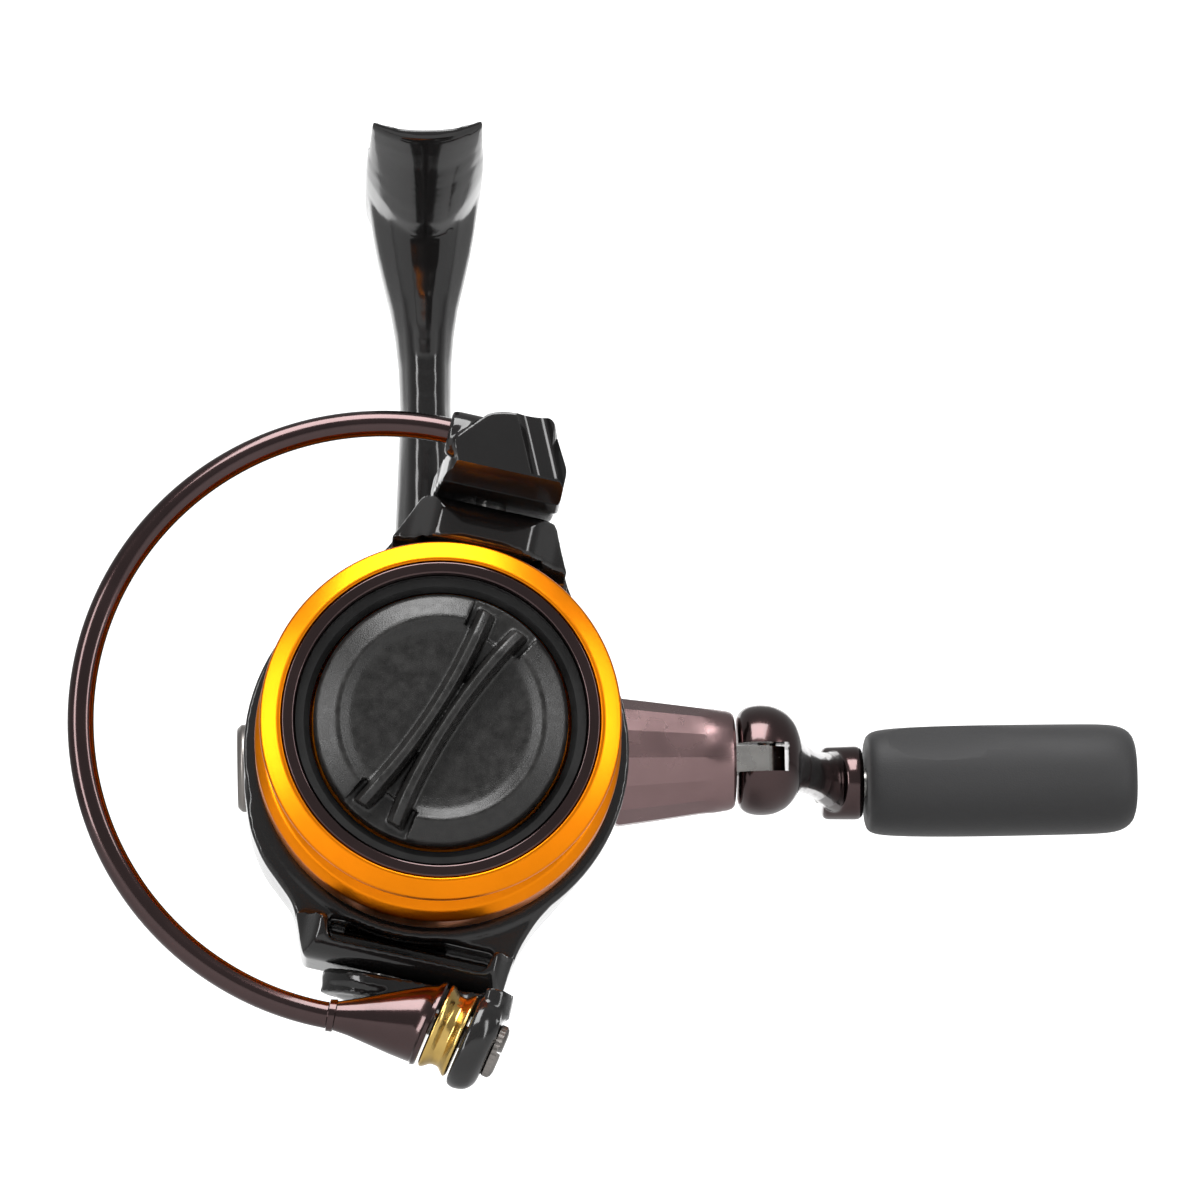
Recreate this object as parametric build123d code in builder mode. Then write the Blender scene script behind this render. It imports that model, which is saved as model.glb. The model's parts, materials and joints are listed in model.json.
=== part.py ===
from build123d import *
import math
import os

os.makedirs("parts", exist_ok=True)

# Frame: origin at the bottom of the foot's saddle, +Z up into the rod, -Y to the
# spool's front, +X to the handle. Depths run along +Y from the spool's lip plane,
# and heights run up from the spool axis. All sizes are in millimetres.

# Spool and its seat
LIP_Y = -43.0              # the lip plane, ahead of the foot's middle
AXIS_Z = -78.5             # the spool axis, below the rod seat
LIP_R = 22.5
SKIRT_R = 23.2
SKIRT_WALL = 1.0
SKIRT_END = 24.5
ARBOR_R = 17.6
RECESS_R = 18.5            # drag knob's well in the spool's front
POT_R = 11.2               # drag washer pot
POT_FLOOR = 12.4
WEB_REAR = 14.0
SEAT_R = 2.5               # main shaft where the spool sits on it
SEAT_END = 16.2            # ahead of the pinion's tip by more than the shaft's rear travel
SEAT_CLEARANCE = 0.05

# Main shaft, pinion and rotor
MAIN_R = 1.8
RUNNING = 0.06             # radial clearance of a shaft in its bore
JOURNAL_R = 3.5
NOSE_R = 13.0
ROTOR_TURN = 13.5          # where the rotor stopped, about the spool axis
ROTOR_FRONT = 19.4
ROTOR_REAR = 44.6
DRUM_R = 21.4
RIM_R = 24.8
RIM_FRONT = 26.4
ARM_IN = 25.0              # inner face of a rotor arm, from the spool axis
ARM_OUT = 30.6
PIVOT_DEPTH = 22.0
PIVOT_R = 2.0

# Bail
BAIL_FACE = 31.0           # inner face of the bail's two arms
BAIL_PLATE = 3.2
WIRE_R = 1.65
WIRE_DEPTH = 5.0
WIRE_ARC_R = 37.6
WIRE_ARC_SPOT = (-7.7, -0.9)      # the bow's centre, across and up from the spool axis
ROLLER_SPOT = (9.2, 6.0, -37.0)   # across, depth, height in the rotor's own frame
ROLLER_TILT = 11.3         # the roller axis leans this far below the cross direction
ROLLER_R = 5.5

# Gear train
DRIVE_DEPTH = 70.0
DRIVE_RISE = 4.35
DRIVE_TEETH = 39
PINION_TEETH = 8
SPUR_TEETH = 12
CRANK_TEETH = 24
SPUR_PITCH_R = 4.5
CRANK_PITCH_R = SPUR_PITCH_R * CRANK_TEETH / SPUR_TEETH
CRANK_DROP = 20.0          # the crank gear's centre lies this far below level, degrees
CRANK_THROW = 6.0
SHAFT_REST = 4.5           # how far behind mid stroke the main shaft stands

# Gearbox
BOX_RIGHT = 12.5
BOX_LEFT = -10.5
BOX_WALL = 1.8
COVER_WALL = 2.0
BOX_LOBES = ((70.0, 4.35, 21.3), (82.0, -1.8, 17.2), (60.0, 0.0, 14.6))
COVER_SCREW_SPOTS = ((52.0, -9.0), (90.5, 11.0), (80.0, -15.4))

# Stem and foot
SEAT_HEIGHT = -AXIS_Z
SADDLE_R = 19.5
FOOT_FRONT = 14.0
FOOT_REAR = 72.0

# Handle
HANDLE_TURN = 4.0          # the arm's rise from level at rest, about the drive axis
SHANK_START = 24.8
SHANK_END = 41.2
FOLD_X = 45.75
FOLD_R = 4.4
PIN_R = 1.25
ARM_LENGTH = 46.0
DRAG_KNOB_R = 15.8
KNOB_START = 63.2
KNOB_END = 102.0
SPINDLE_R = 2.0

SPOOL = Plane(origin=(0, LIP_Y, AXIS_Z), x_dir=(0, 1, 0), z_dir=(1, 0, 0))
DRIVE = Plane(origin=(0, LIP_Y + DRIVE_DEPTH, AXIS_Z + DRIVE_RISE), x_dir=(1, 0, 0),
              z_dir=(0, -1, 0))
SPOOL_AXIS = Axis(SPOOL.origin, SPOOL.x_dir)
DRIVE_AXIS = Axis(DRIVE.origin, DRIVE.x_dir)
CRANK_DEPTH = DRIVE_DEPTH + (SPUR_PITCH_R + CRANK_PITCH_R) * math.cos(math.radians(CRANK_DROP))
CRANK_HEIGHT = DRIVE_RISE - (SPUR_PITCH_R + CRANK_PITCH_R) * math.sin(math.radians(CRANK_DROP))
CRANK = Plane(origin=(0, LIP_Y + CRANK_DEPTH, AXIS_Z + CRANK_HEIGHT), x_dir=(1, 0, 0),
              z_dir=(0, -1, 0))
DRIVE_SIDE = Plane(origin=DRIVE.origin, x_dir=(0, 1, 0), z_dir=(1, 0, 0))
CRANK_SIDE = Plane(origin=CRANK.origin, x_dir=(0, 1, 0), z_dir=(1, 0, 0))


def across(depth):
    """Plane square to the spool axis, seen from the front: local (x, height)."""
    return Plane(origin=(0, LIP_Y + depth, AXIS_Z), x_dir=(1, 0, 0), z_dir=(0, -1, 0))


def beside(x):
    """Plane square to the drive axis: local (depth, height), normal +X."""
    return Plane(origin=(x, LIP_Y, AXIS_Z), x_dir=(0, 1, 0), z_dir=(1, 0, 0))


def above(height):
    """Level plane at a height over the spool axis: local (x, depth), normal +Z."""
    return Plane(origin=(0, LIP_Y, AXIS_Z + height), x_dir=(1, 0, 0), z_dir=(0, 0, 1))


def standing(x, depth, start):
    """Frame whose local x runs up from a height over the spool axis."""
    return Plane(origin=(x, LIP_Y + depth, AXIS_Z + start), x_dir=(0, 0, 1), z_dir=(0, 1, 0))


def lying(depth, height, x=0.0):
    """Frame whose local x runs along +X, at a depth and a height."""
    return Plane(origin=(x, LIP_Y + depth, AXIS_Z + height), x_dir=(1, 0, 0), z_dir=(0, -1, 0))


def turned(frame, points, mode=Mode.ADD):
    """Revolve a closed outline of (along, radius) points about the frame's x axis."""
    with BuildSketch(frame) as section:
        with BuildLine():
            Polyline(*points, close=True)
        make_face()
    revolve(section.sketch, axis=Axis(frame.origin, frame.x_dir), mode=mode)


def ring(frame, start, end, outer, inner=0.0, mode=Mode.ADD):
    """A plain ring or rod about the frame's x axis."""
    turned(frame, [(start, inner), (end, inner), (end, outer), (start, outer)], mode)


def slab(plane, points, thick, mode=Mode.ADD):
    """Extrude a closed outline along its plane's normal."""
    with BuildSketch(plane) as outline:
        with BuildLine():
            Polyline(*points, close=True)
        make_face()
    extrude(outline.sketch, amount=thick, mode=mode)


def block(x, depth, height, mode=Mode.ADD):
    """A box from (low, high) pairs across, in depth and in height."""
    corners = [(x[0], depth[0]), (x[1], depth[0]), (x[1], depth[1]), (x[0], depth[1])]
    slab(above(height[0]), corners, height[1] - height[0], mode)


def gear_outline(teeth, root_r, tip_r, root_share, tip_share, phase=0.0):
    """Spur gear outline. Shares are tooth widths as fractions of one pitch."""
    pitch = 360 / teeth
    corners = ((root_r, -root_share), (tip_r, -tip_share), (tip_r, tip_share),
               (root_r, root_share))
    points = []
    for k in range(teeth):
        for radius, share in corners:
            angle = math.radians(phase + (k + share / 2) * pitch)
            points.append((radius * math.cos(angle), radius * math.sin(angle)))
    return points


def spring_coil(frame, start, pitch, turns, coil_r, wire_r):
    """A round-wire helix along the frame's x axis."""
    base = frame.origin + frame.x_dir * start
    with BuildLine() as path:
        Helix(pitch, pitch * turns, coil_r, center=base, direction=frame.x_dir)
    with BuildSketch(Plane(path.line @ 0, z_dir=path.line % 0)) as wire:
        Circle(wire_r)
    sweep(wire.sketch, path=path.line, is_frenet=True)


def save(piece, name, axis=None, angle=0.0):
    """Label a piece, turn it to its place and write it."""
    if axis:
        piece = piece.rotate(axis, angle)
    piece.label = name
    export_step(piece, f"parts/{name}.step")


# ---------------------------------------------------------------- fixed body

def gearbox_sketch(x, grow):
    """The gearbox's side outline, grown or shrunk, as a sketch at x."""
    with BuildSketch(beside(x)) as outline:
        for depth, height, radius in BOX_LOBES:
            with Locations((depth, height)):
                Circle(radius + grow)
        make_hull()
    return outline.sketch


NOSE_FRONT = 27.5
COLLAR_FRONT = 45.2
COLLAR_R = 16.4
CLUTCH_R = 10.0
CLUTCH_END = 34.5
BEARING_R = 8.0
BEARING_END = 39.5
DRIVE_BEARING_R = 6.5
BOSS_R = 8.0
GUIDE_HEIGHT = -11.2
GUIDE_R = 1.2
LEVER_SPOT = (5.0, 64.0)

# wedge-ended plate with a saddle for the rod, part of the housing's casting
with BuildPart() as foot:
    slab(beside(-9), [(FOOT_FRONT, 80.2), (FOOT_FRONT, 77.4), (22.0, 75.2), (30.0, 72.4),
                      (60.0, 72.4), (66.0, 75.0), (FOOT_REAR, 77.4), (FOOT_REAR, 80.2)], 18)
    slab(above(70), [(-7.1, FOOT_FRONT), (7.1, FOOT_FRONT), (7.7, 30), (7.7, 50),
                     (5.6, FOOT_REAR), (-5.6, FOOT_REAR), (-7.7, 50), (-7.7, 30)], 12,
         mode=Mode.INTERSECT)
    saddle = Plane(origin=(0, LIP_Y, AXIS_Z + SEAT_HEIGHT + SADDLE_R), x_dir=(0, 1, 0),
                   z_dir=(1, 0, 0))
    ring(saddle, FOOT_FRONT - 1, FOOT_REAR + 1, SADDLE_R, mode=Mode.SUBTRACT)

with BuildPart() as body_housing:
    extrude(gearbox_sketch(BOX_LEFT, 0), amount=BOX_RIGHT - BOX_LEFT)
    fillet(body_housing.faces().sort_by(Axis.X)[-1].edges(), radius=4)
    extrude(gearbox_sketch(BOX_LEFT, -BOX_WALL), amount=BOX_RIGHT - BOX_LEFT - BOX_WALL,
            mode=Mode.SUBTRACT)
    # screw posts for the side cover
    for spot in COVER_SCREW_SPOTS:
        ring(lying(*spot), BOX_LEFT, BOX_RIGHT - BOX_WALL / 2, 1.7)
        ring(lying(*spot), BOX_LEFT - 1, -3.8, 0.9, mode=Mode.SUBTRACT)
    # nose tube that carries the clutch and the pinion's front bearing
    ring(SPOOL, NOSE_FRONT, 50.0, NOSE_R)
    ring(SPOOL, COLLAR_FRONT, 49.0, COLLAR_R)
    ring(SPOOL, NOSE_FRONT - 1, CLUTCH_END, CLUTCH_R, mode=Mode.SUBTRACT)
    ring(SPOOL, CLUTCH_END - 1, BEARING_END, BEARING_R, mode=Mode.SUBTRACT)
    ring(SPOOL, BEARING_END - 1, 51.0, 5.2, mode=Mode.SUBTRACT)
    # bulkhead for the pinion's rear bushing
    ring(SPOOL, 57.0, 60.0, 4.8)
    block((0, BOX_RIGHT - BOX_WALL), (57.0, 60.0), (-4.8, 4.8))
    ring(SPOOL, 56.0, 61.0, 3.8, mode=Mode.SUBTRACT)
    # boss for the handle-side bearing
    ring(DRIVE, BOX_RIGHT - BOX_WALL, SHANK_START - 0.4, BOSS_R)
    ring(DRIVE, BOX_RIGHT - BOX_WALL - 0.2, 16.5, DRIVE_BEARING_R, mode=Mode.SUBTRACT)
    ring(DRIVE, 16.0, SHANK_START, 3.9, mode=Mode.SUBTRACT)
    # posts for the crank gear's axle and the slider's guide rod
    ring(CRANK, 8.4, BOX_RIGHT - 1, 3.2)
    ring(CRANK, 8.0, BOX_RIGHT - 1, 1.4, mode=Mode.SUBTRACT)
    block((-2.0, BOX_RIGHT - BOX_WALL), (64.5, 67.5), (-13.2, -9.2))
    block((-2.4, 2.4), (92.6, 96.0), (-13.6, -8.8))
    ring(standing(LEVER_SPOT[0], LEVER_SPOT[1], 0), -15.5, -12.0, 3.2)
    guide_frame = Plane(origin=(0, LIP_Y, AXIS_Z + GUIDE_HEIGHT), x_dir=(0, 1, 0),
                        z_dir=(1, 0, 0))
    ring(guide_frame, 65.0, 95.0, GUIDE_R, mode=Mode.SUBTRACT)
    ring(standing(LEVER_SPOT[0], LEVER_SPOT[1], 0), -18.0, -12.6, 1.55, mode=Mode.SUBTRACT)
    # stem: a thin blade that widens into the foot
    stem = ((24.2, 5.2, 52.0, 73.0), (38.0, 4.4, 49.0, 68.0), (50.0, 3.4, 48.0, 66.0),
            (60.0, 4.0, 46.0, 65.0), (66.5, 5.4, 41.0, 64.0), (72.5, 6.7, 31.0, 64.0))
    for (z0, w0, f0, r0), (z1, w1, f1, r1) in zip(stem, stem[1:]):
        with BuildSketch(above(z0), mode=Mode.PRIVATE) as low:
            with Locations((0, (f0 + r0) / 2)):
                Rectangle(2 * w0, r0 - f0)
        with BuildSketch(above(z1), mode=Mode.PRIVATE) as high:
            with Locations((0, (f1 + r1) / 2)):
                Rectangle(2 * w1, r1 - f1)
        loft([low.sketch.face(), high.sketch.face()], ruled=True)
    add(foot.part)
save(body_housing.part, "body_housing")

COVER_BOSS_END = -24.3
CAP_R = 5.9
with BuildPart() as side_cover:
    extrude(gearbox_sketch(BOX_LEFT - COVER_WALL, 0), amount=COVER_WALL)
    fillet(side_cover.faces().sort_by(Axis.X)[0].edges(), radius=1.6)
    ring(DRIVE, COVER_BOSS_END, BOX_LEFT, 7.4)
    ring(DRIVE, -15.5, BOX_LEFT + 1, 6.0, mode=Mode.SUBTRACT)
    ring(DRIVE, COVER_BOSS_END - 1, -15.0, 4.4, mode=Mode.SUBTRACT)
    for spot in COVER_SCREW_SPOTS:
        ring(lying(*spot), BOX_LEFT - COVER_WALL - 1, BOX_LEFT + 1, 0.9, mode=Mode.SUBTRACT)
    ring(SPOOL, COLLAR_FRONT - 5, 50.0, COLLAR_R, mode=Mode.SUBTRACT)
save(side_cover.part, "side_cover")

with BuildPart() as side_cover_screws:
    for spot in COVER_SCREW_SPOTS:
        turned(lying(*spot), [(-13.6, 0), (-13.6, 1.5), (-13.2, 1.8), (-12.5, 1.8), (-12.5, 0.9),
                              (-4.0, 0.9), (-4.0, 0)])
save(side_cover_screws.part, "side_cover_screws")

with BuildPart() as dust_cap:
    turned(DRIVE, [(-25.9, 0), (-25.9, 5.2), (-25.3, CAP_R), (COVER_BOSS_END, CAP_R),
                   (COVER_BOSS_END, 4.4), (-19.5, 4.4), (-19.5, 2.8), (-24.4, 2.8), (-24.4, 0)])
save(dust_cap.part, "dust_cap")

DRIVE_SHAFT_R = 3.2
with BuildPart() as drive_bearings:
    ring(DRIVE, -15.4, -11.2, 6.0, DRIVE_SHAFT_R + RUNNING)
    ring(DRIVE, 12.6, 16.4, DRIVE_BEARING_R, DRIVE_SHAFT_R + RUNNING)
save(drive_bearings.part, "drive_bearings")

with BuildPart() as pinion_bearing:
    ring(SPOOL, 34.7, 39.4, BEARING_R, JOURNAL_R + RUNNING)
save(pinion_bearing.part, "pinion_bearing")

PINION_TAIL_R = 2.5
with BuildPart() as pinion_bushing:
    ring(SPOOL, 57.0, 60.0, 3.8, PINION_TAIL_R + RUNNING)
save(pinion_bushing.part, "pinion_bushing")

CLUTCH_SLEEVE_R = 5.5
CLUTCH_ROLLER_R = 1.0
CLUTCH_ROLLERS = 8
with BuildPart() as clutch_ring:
    ring(SPOOL, 28.3, 34.3, CLUTCH_R, CLUTCH_SLEEVE_R + 2 * CLUTCH_ROLLER_R + 0.1)
save(clutch_ring.part, "clutch_ring")

with BuildPart() as clutch_rollers:
    for k in range(CLUTCH_ROLLERS):
        swing = math.radians(360 * k / CLUTCH_ROLLERS)
        reach = CLUTCH_SLEEVE_R + CLUTCH_ROLLER_R + 0.05
        spot = Plane(origin=(reach * math.cos(swing), LIP_Y, AXIS_Z + reach * math.sin(swing)),
                     x_dir=(0, 1, 0), z_dir=(1, 0, 0))
        ring(spot, 28.8, 33.8, CLUTCH_ROLLER_R)
save(clutch_rollers.part, "clutch_rollers")

with BuildPart() as clutch_cover:
    ring(SPOOL, NOSE_FRONT - 0.9, NOSE_FRONT, 12.6, CLUTCH_SLEEVE_R + 0.4)
    ring(SPOOL, NOSE_FRONT, 28.2, CLUTCH_R, CLUTCH_SLEEVE_R + 0.4)
save(clutch_cover.part, "clutch_cover")

with BuildPart() as rotor_brake_ring:
    ring(SPOOL, 41.4, 43.0, NOSE_R + 1.3, NOSE_R)
save(rotor_brake_ring.part, "rotor_brake_ring")

with BuildPart() as slider_guide:
    ring(guide_frame, 65.0, 95.0, GUIDE_R)
save(slider_guide.part, "slider_guide")

with BuildPart() as crank_axle:
    ring(CRANK, 4.8, BOX_RIGHT - 1, 1.4)
save(crank_axle.part, "crank_axle")

with BuildPart() as anti_reverse_lever:
    ring(standing(LEVER_SPOT[0], LEVER_SPOT[1], 0), -18.4, -12.7, 1.5)
    slab(above(-20.6), [(3.0, 60.5), (7.0, 60.5), (7.6, 66.0), (6.4, 76.0), (3.6, 76.0),
                        (2.4, 66.0)], 1.6)
    block((3.6, 6.4), (73.0, 76.0), (-21.8, -20.6))
    ring(standing(LEVER_SPOT[0], LEVER_SPOT[1], 0), -19.0, -17.0, 2.4)
save(anti_reverse_lever.part, "anti_reverse_lever")

# ---------------------------------------------------------------- drive train

GEAR_WEB = (-8.6, -5.6)
FACE_ROOT_X = -4.35
FACE_TIP_X = -2.9
FACE_TOOTH_ROOT = 0.78     # half widths of a face tooth at its root and its tip
FACE_TOOTH_TIP = 0.30
GEAR_R = 18.7
WAIST_R = 2.2

with BuildPart() as drive_gear:
    ring(DRIVE, GEAR_WEB[0], GEAR_WEB[1], GEAR_R, 3.2)
    ring(DRIVE, -10.1, GEAR_WEB[1], 5.6, 3.2)
    ring(DRIVE, GEAR_WEB[1] - 0.1, FACE_ROOT_X, GEAR_R, 14.9)
    # straight teeth, each set off from the gear's centre by the shafts' offset
    for k in range(DRIVE_TEETH):
        turn = math.radians(360 * k / DRIVE_TEETH)
        along = Plane(origin=DRIVE.origin, x_dir=(1, 0, 0), z_dir=(0, math.cos(turn), math.sin(turn)))
        slab(along.offset(-17.8), [(FACE_ROOT_X - 0.1, DRIVE_RISE - FACE_TOOTH_ROOT),
                                   (FACE_TIP_X, DRIVE_RISE - FACE_TOOTH_TIP),
                                   (FACE_TIP_X, DRIVE_RISE + FACE_TOOTH_TIP),
                                   (FACE_ROOT_X - 0.1, DRIVE_RISE + FACE_TOOTH_ROOT)], 2.2)
save(drive_gear.part, "drive_gear")

with BuildPart() as drive_shaft:
    turned(DRIVE, [(-16.2, 0), (-16.2, DRIVE_SHAFT_R), (GEAR_WEB[1], DRIVE_SHAFT_R),
                   (GEAR_WEB[1], WAIST_R), (5.1, WAIST_R), (5.1, 2.6), (10.5, 2.6),
                   (10.5, DRIVE_SHAFT_R), (19.4, DRIVE_SHAFT_R), (19.4, 1.95), (9.2, 1.95), (9.2, 0)])
save(drive_shaft.part, "drive_shaft")

with BuildPart() as crank_drive_gear:
    teeth = gear_outline(SPUR_TEETH, 3.65, 5.1, 0.62, 0.24, phase=-CRANK_DROP)
    slab(DRIVE_SIDE.offset(5.3), teeth, 2.6)
    ring(DRIVE, 5.0, 8.2, 2.6, mode=Mode.SUBTRACT)
save(crank_drive_gear.part, "crank_drive_gear")

TONGUE = 1.75
with BuildPart() as handle_rod:
    ring(DRIVE, 9.4, 40.0, 1.95)
    block((38.0, FOLD_X), (DRIVE_DEPTH - 3.6, DRIVE_DEPTH + 3.6),
          (DRIVE_RISE - TONGUE, DRIVE_RISE + TONGUE))
    ring(standing(FOLD_X, DRIVE_DEPTH, DRIVE_RISE), -TONGUE, TONGUE, 2.4)
    ring(standing(FOLD_X, DRIVE_DEPTH, DRIVE_RISE), -3, 3, PIN_R + 0.05, mode=Mode.SUBTRACT)
save(handle_rod.part, "handle_rod", DRIVE_AXIS, HANDLE_TURN)

with BuildPart() as handle_shank:
    turned(DRIVE, [(SHANK_START, 8.2), (SHANK_START, 8.8), (36.2, 7.2), (40.6, 6.7),
                   (SHANK_END, 6.1), (SHANK_END, 1.95), (19.6, 1.95), (19.6, 3.5), (31.0, 3.5),
                   (33.0, 6.4)])
    # slot for the rod's flat tongue
    block((37.8, SHANK_END + 1), (DRIVE_DEPTH - 3.7, DRIVE_DEPTH + 3.7),
          (DRIVE_RISE - TONGUE, DRIVE_RISE + TONGUE), Mode.SUBTRACT)
save(handle_shank.part, "handle_shank", DRIVE_AXIS, HANDLE_TURN)

with BuildPart() as crank_gear:
    teeth = gear_outline(CRANK_TEETH, 8.15, 9.6, 0.62, 0.24, phase=180 - CRANK_DROP + 7.5)
    slab(CRANK_SIDE.offset(5.3), teeth, 2.6)
    ring(CRANK, 5.0, 8.2, 1.4 + RUNNING, mode=Mode.SUBTRACT)
    pin_rise = math.sqrt(CRANK_THROW**2 - SHAFT_REST**2)
    crank_pin = Plane(origin=(0, LIP_Y + CRANK_DEPTH + SHAFT_REST, AXIS_Z + CRANK_HEIGHT + pin_rise),
                      x_dir=(1, 0, 0), z_dir=(0, -1, 0))
    ring(crank_pin, 4.65, 5.4, 1.6)
save(crank_gear.part, "crank_gear")

# ---------------------------------------------------------------- main shaft

SLIDER_HALF = 3.0
SLIDER_X = (-2.5, 4.3)
SLIDER_MIDDLE = CRANK_DEPTH + SHAFT_REST
SHAFT_TIP = 0.9
SPRING_PITCH = 1.0

with BuildPart() as main_shaft:
    turned(SPOOL, [(SHAFT_TIP, 0), (SHAFT_TIP, 1.9), (1.4, 2.3), (6.2, 2.3), (6.2, SEAT_R),
                   (SEAT_END, SEAT_R), (SEAT_END, MAIN_R), (SLIDER_MIDDLE + 2.6, MAIN_R),
                   (SLIDER_MIDDLE + 2.6, 0)])
    # flats that key the drag washers
    for side in (-1, 1):
        low, high = sorted((side * 2.0, side * 3.0))
        block((-3, 3), (5.0, 11.4), (low, high), Mode.SUBTRACT)
save(main_shaft.part, "main_shaft")

with BuildPart() as crank_slider:
    block(SLIDER_X, (SLIDER_MIDDLE - SLIDER_HALF, SLIDER_MIDDLE + SLIDER_HALF), (-13.0, 8.8))
    block((2.2, SLIDER_X[1] + 1), (SLIDER_MIDDLE - 1.9, SLIDER_MIDDLE + 1.9),
          (CRANK_HEIGHT - 8.0, CRANK_HEIGHT + 8.0), Mode.SUBTRACT)
    ring(SPOOL, SLIDER_MIDDLE - 4, SLIDER_MIDDLE + 4, MAIN_R, mode=Mode.SUBTRACT)
    ring(guide_frame, SLIDER_MIDDLE - 4, SLIDER_MIDDLE + 4, GUIDE_R + RUNNING, mode=Mode.SUBTRACT)
save(crank_slider.part, "crank_slider")

with BuildPart() as slider_screw:
    turned(SPOOL, [(SLIDER_MIDDLE + SLIDER_HALF, 0), (SLIDER_MIDDLE + SLIDER_HALF, 2.4),
                   (SLIDER_MIDDLE + 3.8, 2.4), (SLIDER_MIDDLE + 4.2, 1.9), (SLIDER_MIDDLE + 4.2, 0)])
save(slider_screw.part, "slider_screw")

with BuildPart() as spool_support_washer:
    ring(SPOOL, 14.1, 14.5, 5.0, SEAT_R)
save(spool_support_washer.part, "spool_support_washer")

with BuildPart() as click_ratchet:
    slab(across(14.6), gear_outline(24, 6.2, 7.0, 0.8, 0.2), -1.2)
    ring(SPOOL, 14.0, 16.5, SEAT_R, mode=Mode.SUBTRACT)
save(click_ratchet.part, "click_ratchet")


def flatted_bore(start, end):
    """Cut the double-flatted hole that keys a washer to the main shaft."""
    with BuildSketch(across(start)) as hole:
        Circle(SEAT_R)
        Rectangle(2 * SEAT_R, 4.0, mode=Mode.INTERSECT)
    extrude(hole.sketch, amount=-(end - start), mode=Mode.SUBTRACT)


with BuildPart() as keyed_drag_washers:
    for start in (7.1, 10.6):
        ring(SPOOL, start, start + 0.75, 10.6)
        flatted_bore(start, start + 0.75)
save(keyed_drag_washers.part, "keyed_drag_washers")

# ---------------------------------------------------------------- spool

with BuildPart() as spool_body:
    turned(SPOOL, [(0, 19.8), (0, 20.6), (0.9, LIP_R), (2.2, LIP_R), (5.2, 18.2), (5.8, ARBOR_R),
                   (15.0, ARBOR_R), (15.6, 18.0), (16.2, 22.4), (17.0, SKIRT_R), (SKIRT_END - 0.3, SKIRT_R),
                   (SKIRT_END, SKIRT_R - 0.3), (SKIRT_END, SKIRT_R - SKIRT_WALL),
                   (17.6, SKIRT_R - SKIRT_WALL), (17.0, 21.6), (17.0, 16.4), (WEB_REAR, 16.4),
                   (WEB_REAR, SEAT_R + SEAT_CLEARANCE), (11.5, SEAT_R + SEAT_CLEARANCE),
                   (11.5, 4.0), (POT_FLOOR, 4.0), (POT_FLOOR, POT_R), (5.2, POT_R), (5.2, 16.2),
                   (3.7, 16.2), (3.7, RECESS_R), (1.0, RECESS_R), (1.0, 19.8)])
    ring(SPOOL, 6.2, 6.9, POT_R + 0.5, POT_R, mode=Mode.SUBTRACT)
    for side in (-1, 1):
        low, high = sorted((side * 10.8, side * 12.6))
        block((-2.2, 2.2), (5.2, 9.65), (low, high), Mode.SUBTRACT)
save(spool_body.part, "spool_body")

with BuildPart() as spool_trim_ring:
    turned(SPOOL, [(0.1, 18.4), (0.1, 19.75), (0.95, 19.75), (0.95, 18.45), (3.4, 18.45), (3.4, 18.05),
                   (0.5, 18.05)])
save(spool_trim_ring.part, "spool_trim_ring")

with BuildPart() as well_seal:
    turned(SPOOL, [(2.9, 16.3), (2.4, 17.0), (2.4, 18.0), (3.65, 18.0), (3.65, 16.3)])
save(well_seal.part, "well_seal")

with BuildPart() as drag_washers:
    for start in (7.85, 9.6, 11.4):
        ring(SPOOL, start, start + 1.0, 10.7, 4.4)
save(drag_washers.part, "drag_washers")

with BuildPart() as eared_drag_washer:
    ring(SPOOL, 8.85, 9.6, 10.7, 4.4)
    for side in (-1, 1):
        low, high = sorted((side * 10.2, side * 12.4))
        block((-2.0, 2.0), (8.85, 9.6), (low, high))
save(eared_drag_washer.part, "eared_drag_washer")

with BuildPart() as drag_retaining_ring:
    ring(SPOOL, 6.3, 6.9, POT_R + 0.45, 10.4)
    block((-2.5, 2.5), (6.0, 7.2), (-12.5, -9.5), Mode.SUBTRACT)
save(drag_retaining_ring.part, "drag_retaining_ring")

with BuildPart() as click_pawl:
    slab(across(WEB_REAR), [(7.4, -0.5), (11.5, -2.0), (13.5, 0), (11.5, 2.0), (7.4, 0.5)], -1.4)
save(click_pawl.part, "click_pawl")

with BuildPart() as line_clip:
    ring(SPOOL, 18.8, 22.6, SKIRT_R + 0.9, SKIRT_R)
    block((-2.4, 2.4), (18.0, 23.0), (0, 30), Mode.INTERSECT)
save(line_clip.part, "line_clip")

# ---------------------------------------------------------------- drag knob

KNOB_FRONT = -0.6
KNOB_REAR = 4.6
GRIP_ANGLE = 56.0          # the grip bar's lean from level

with BuildPart() as drag_pressure_washer:
    ring(SPOOL, 6.3, 7.1, 8.5)
    flatted_bore(6.3, 7.1)
save(drag_pressure_washer.part, "drag_pressure_washer")

with BuildPart() as drag_spring:
    spring_coil(SPOOL, 3.75, SPRING_PITCH, 2.0, 4.6, 0.35)
save(drag_spring.part, "drag_spring")

with BuildPart() as drag_nut:
    with BuildSketch(across(0.6)) as hexagon:
        RegularPolygon(5.0, 6)
    extrude(hexagon.sketch, amount=-2.6)
    ring(SPOOL, 0, 4, 2.36, mode=Mode.SUBTRACT)
save(drag_nut.part, "drag_nut")

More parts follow.
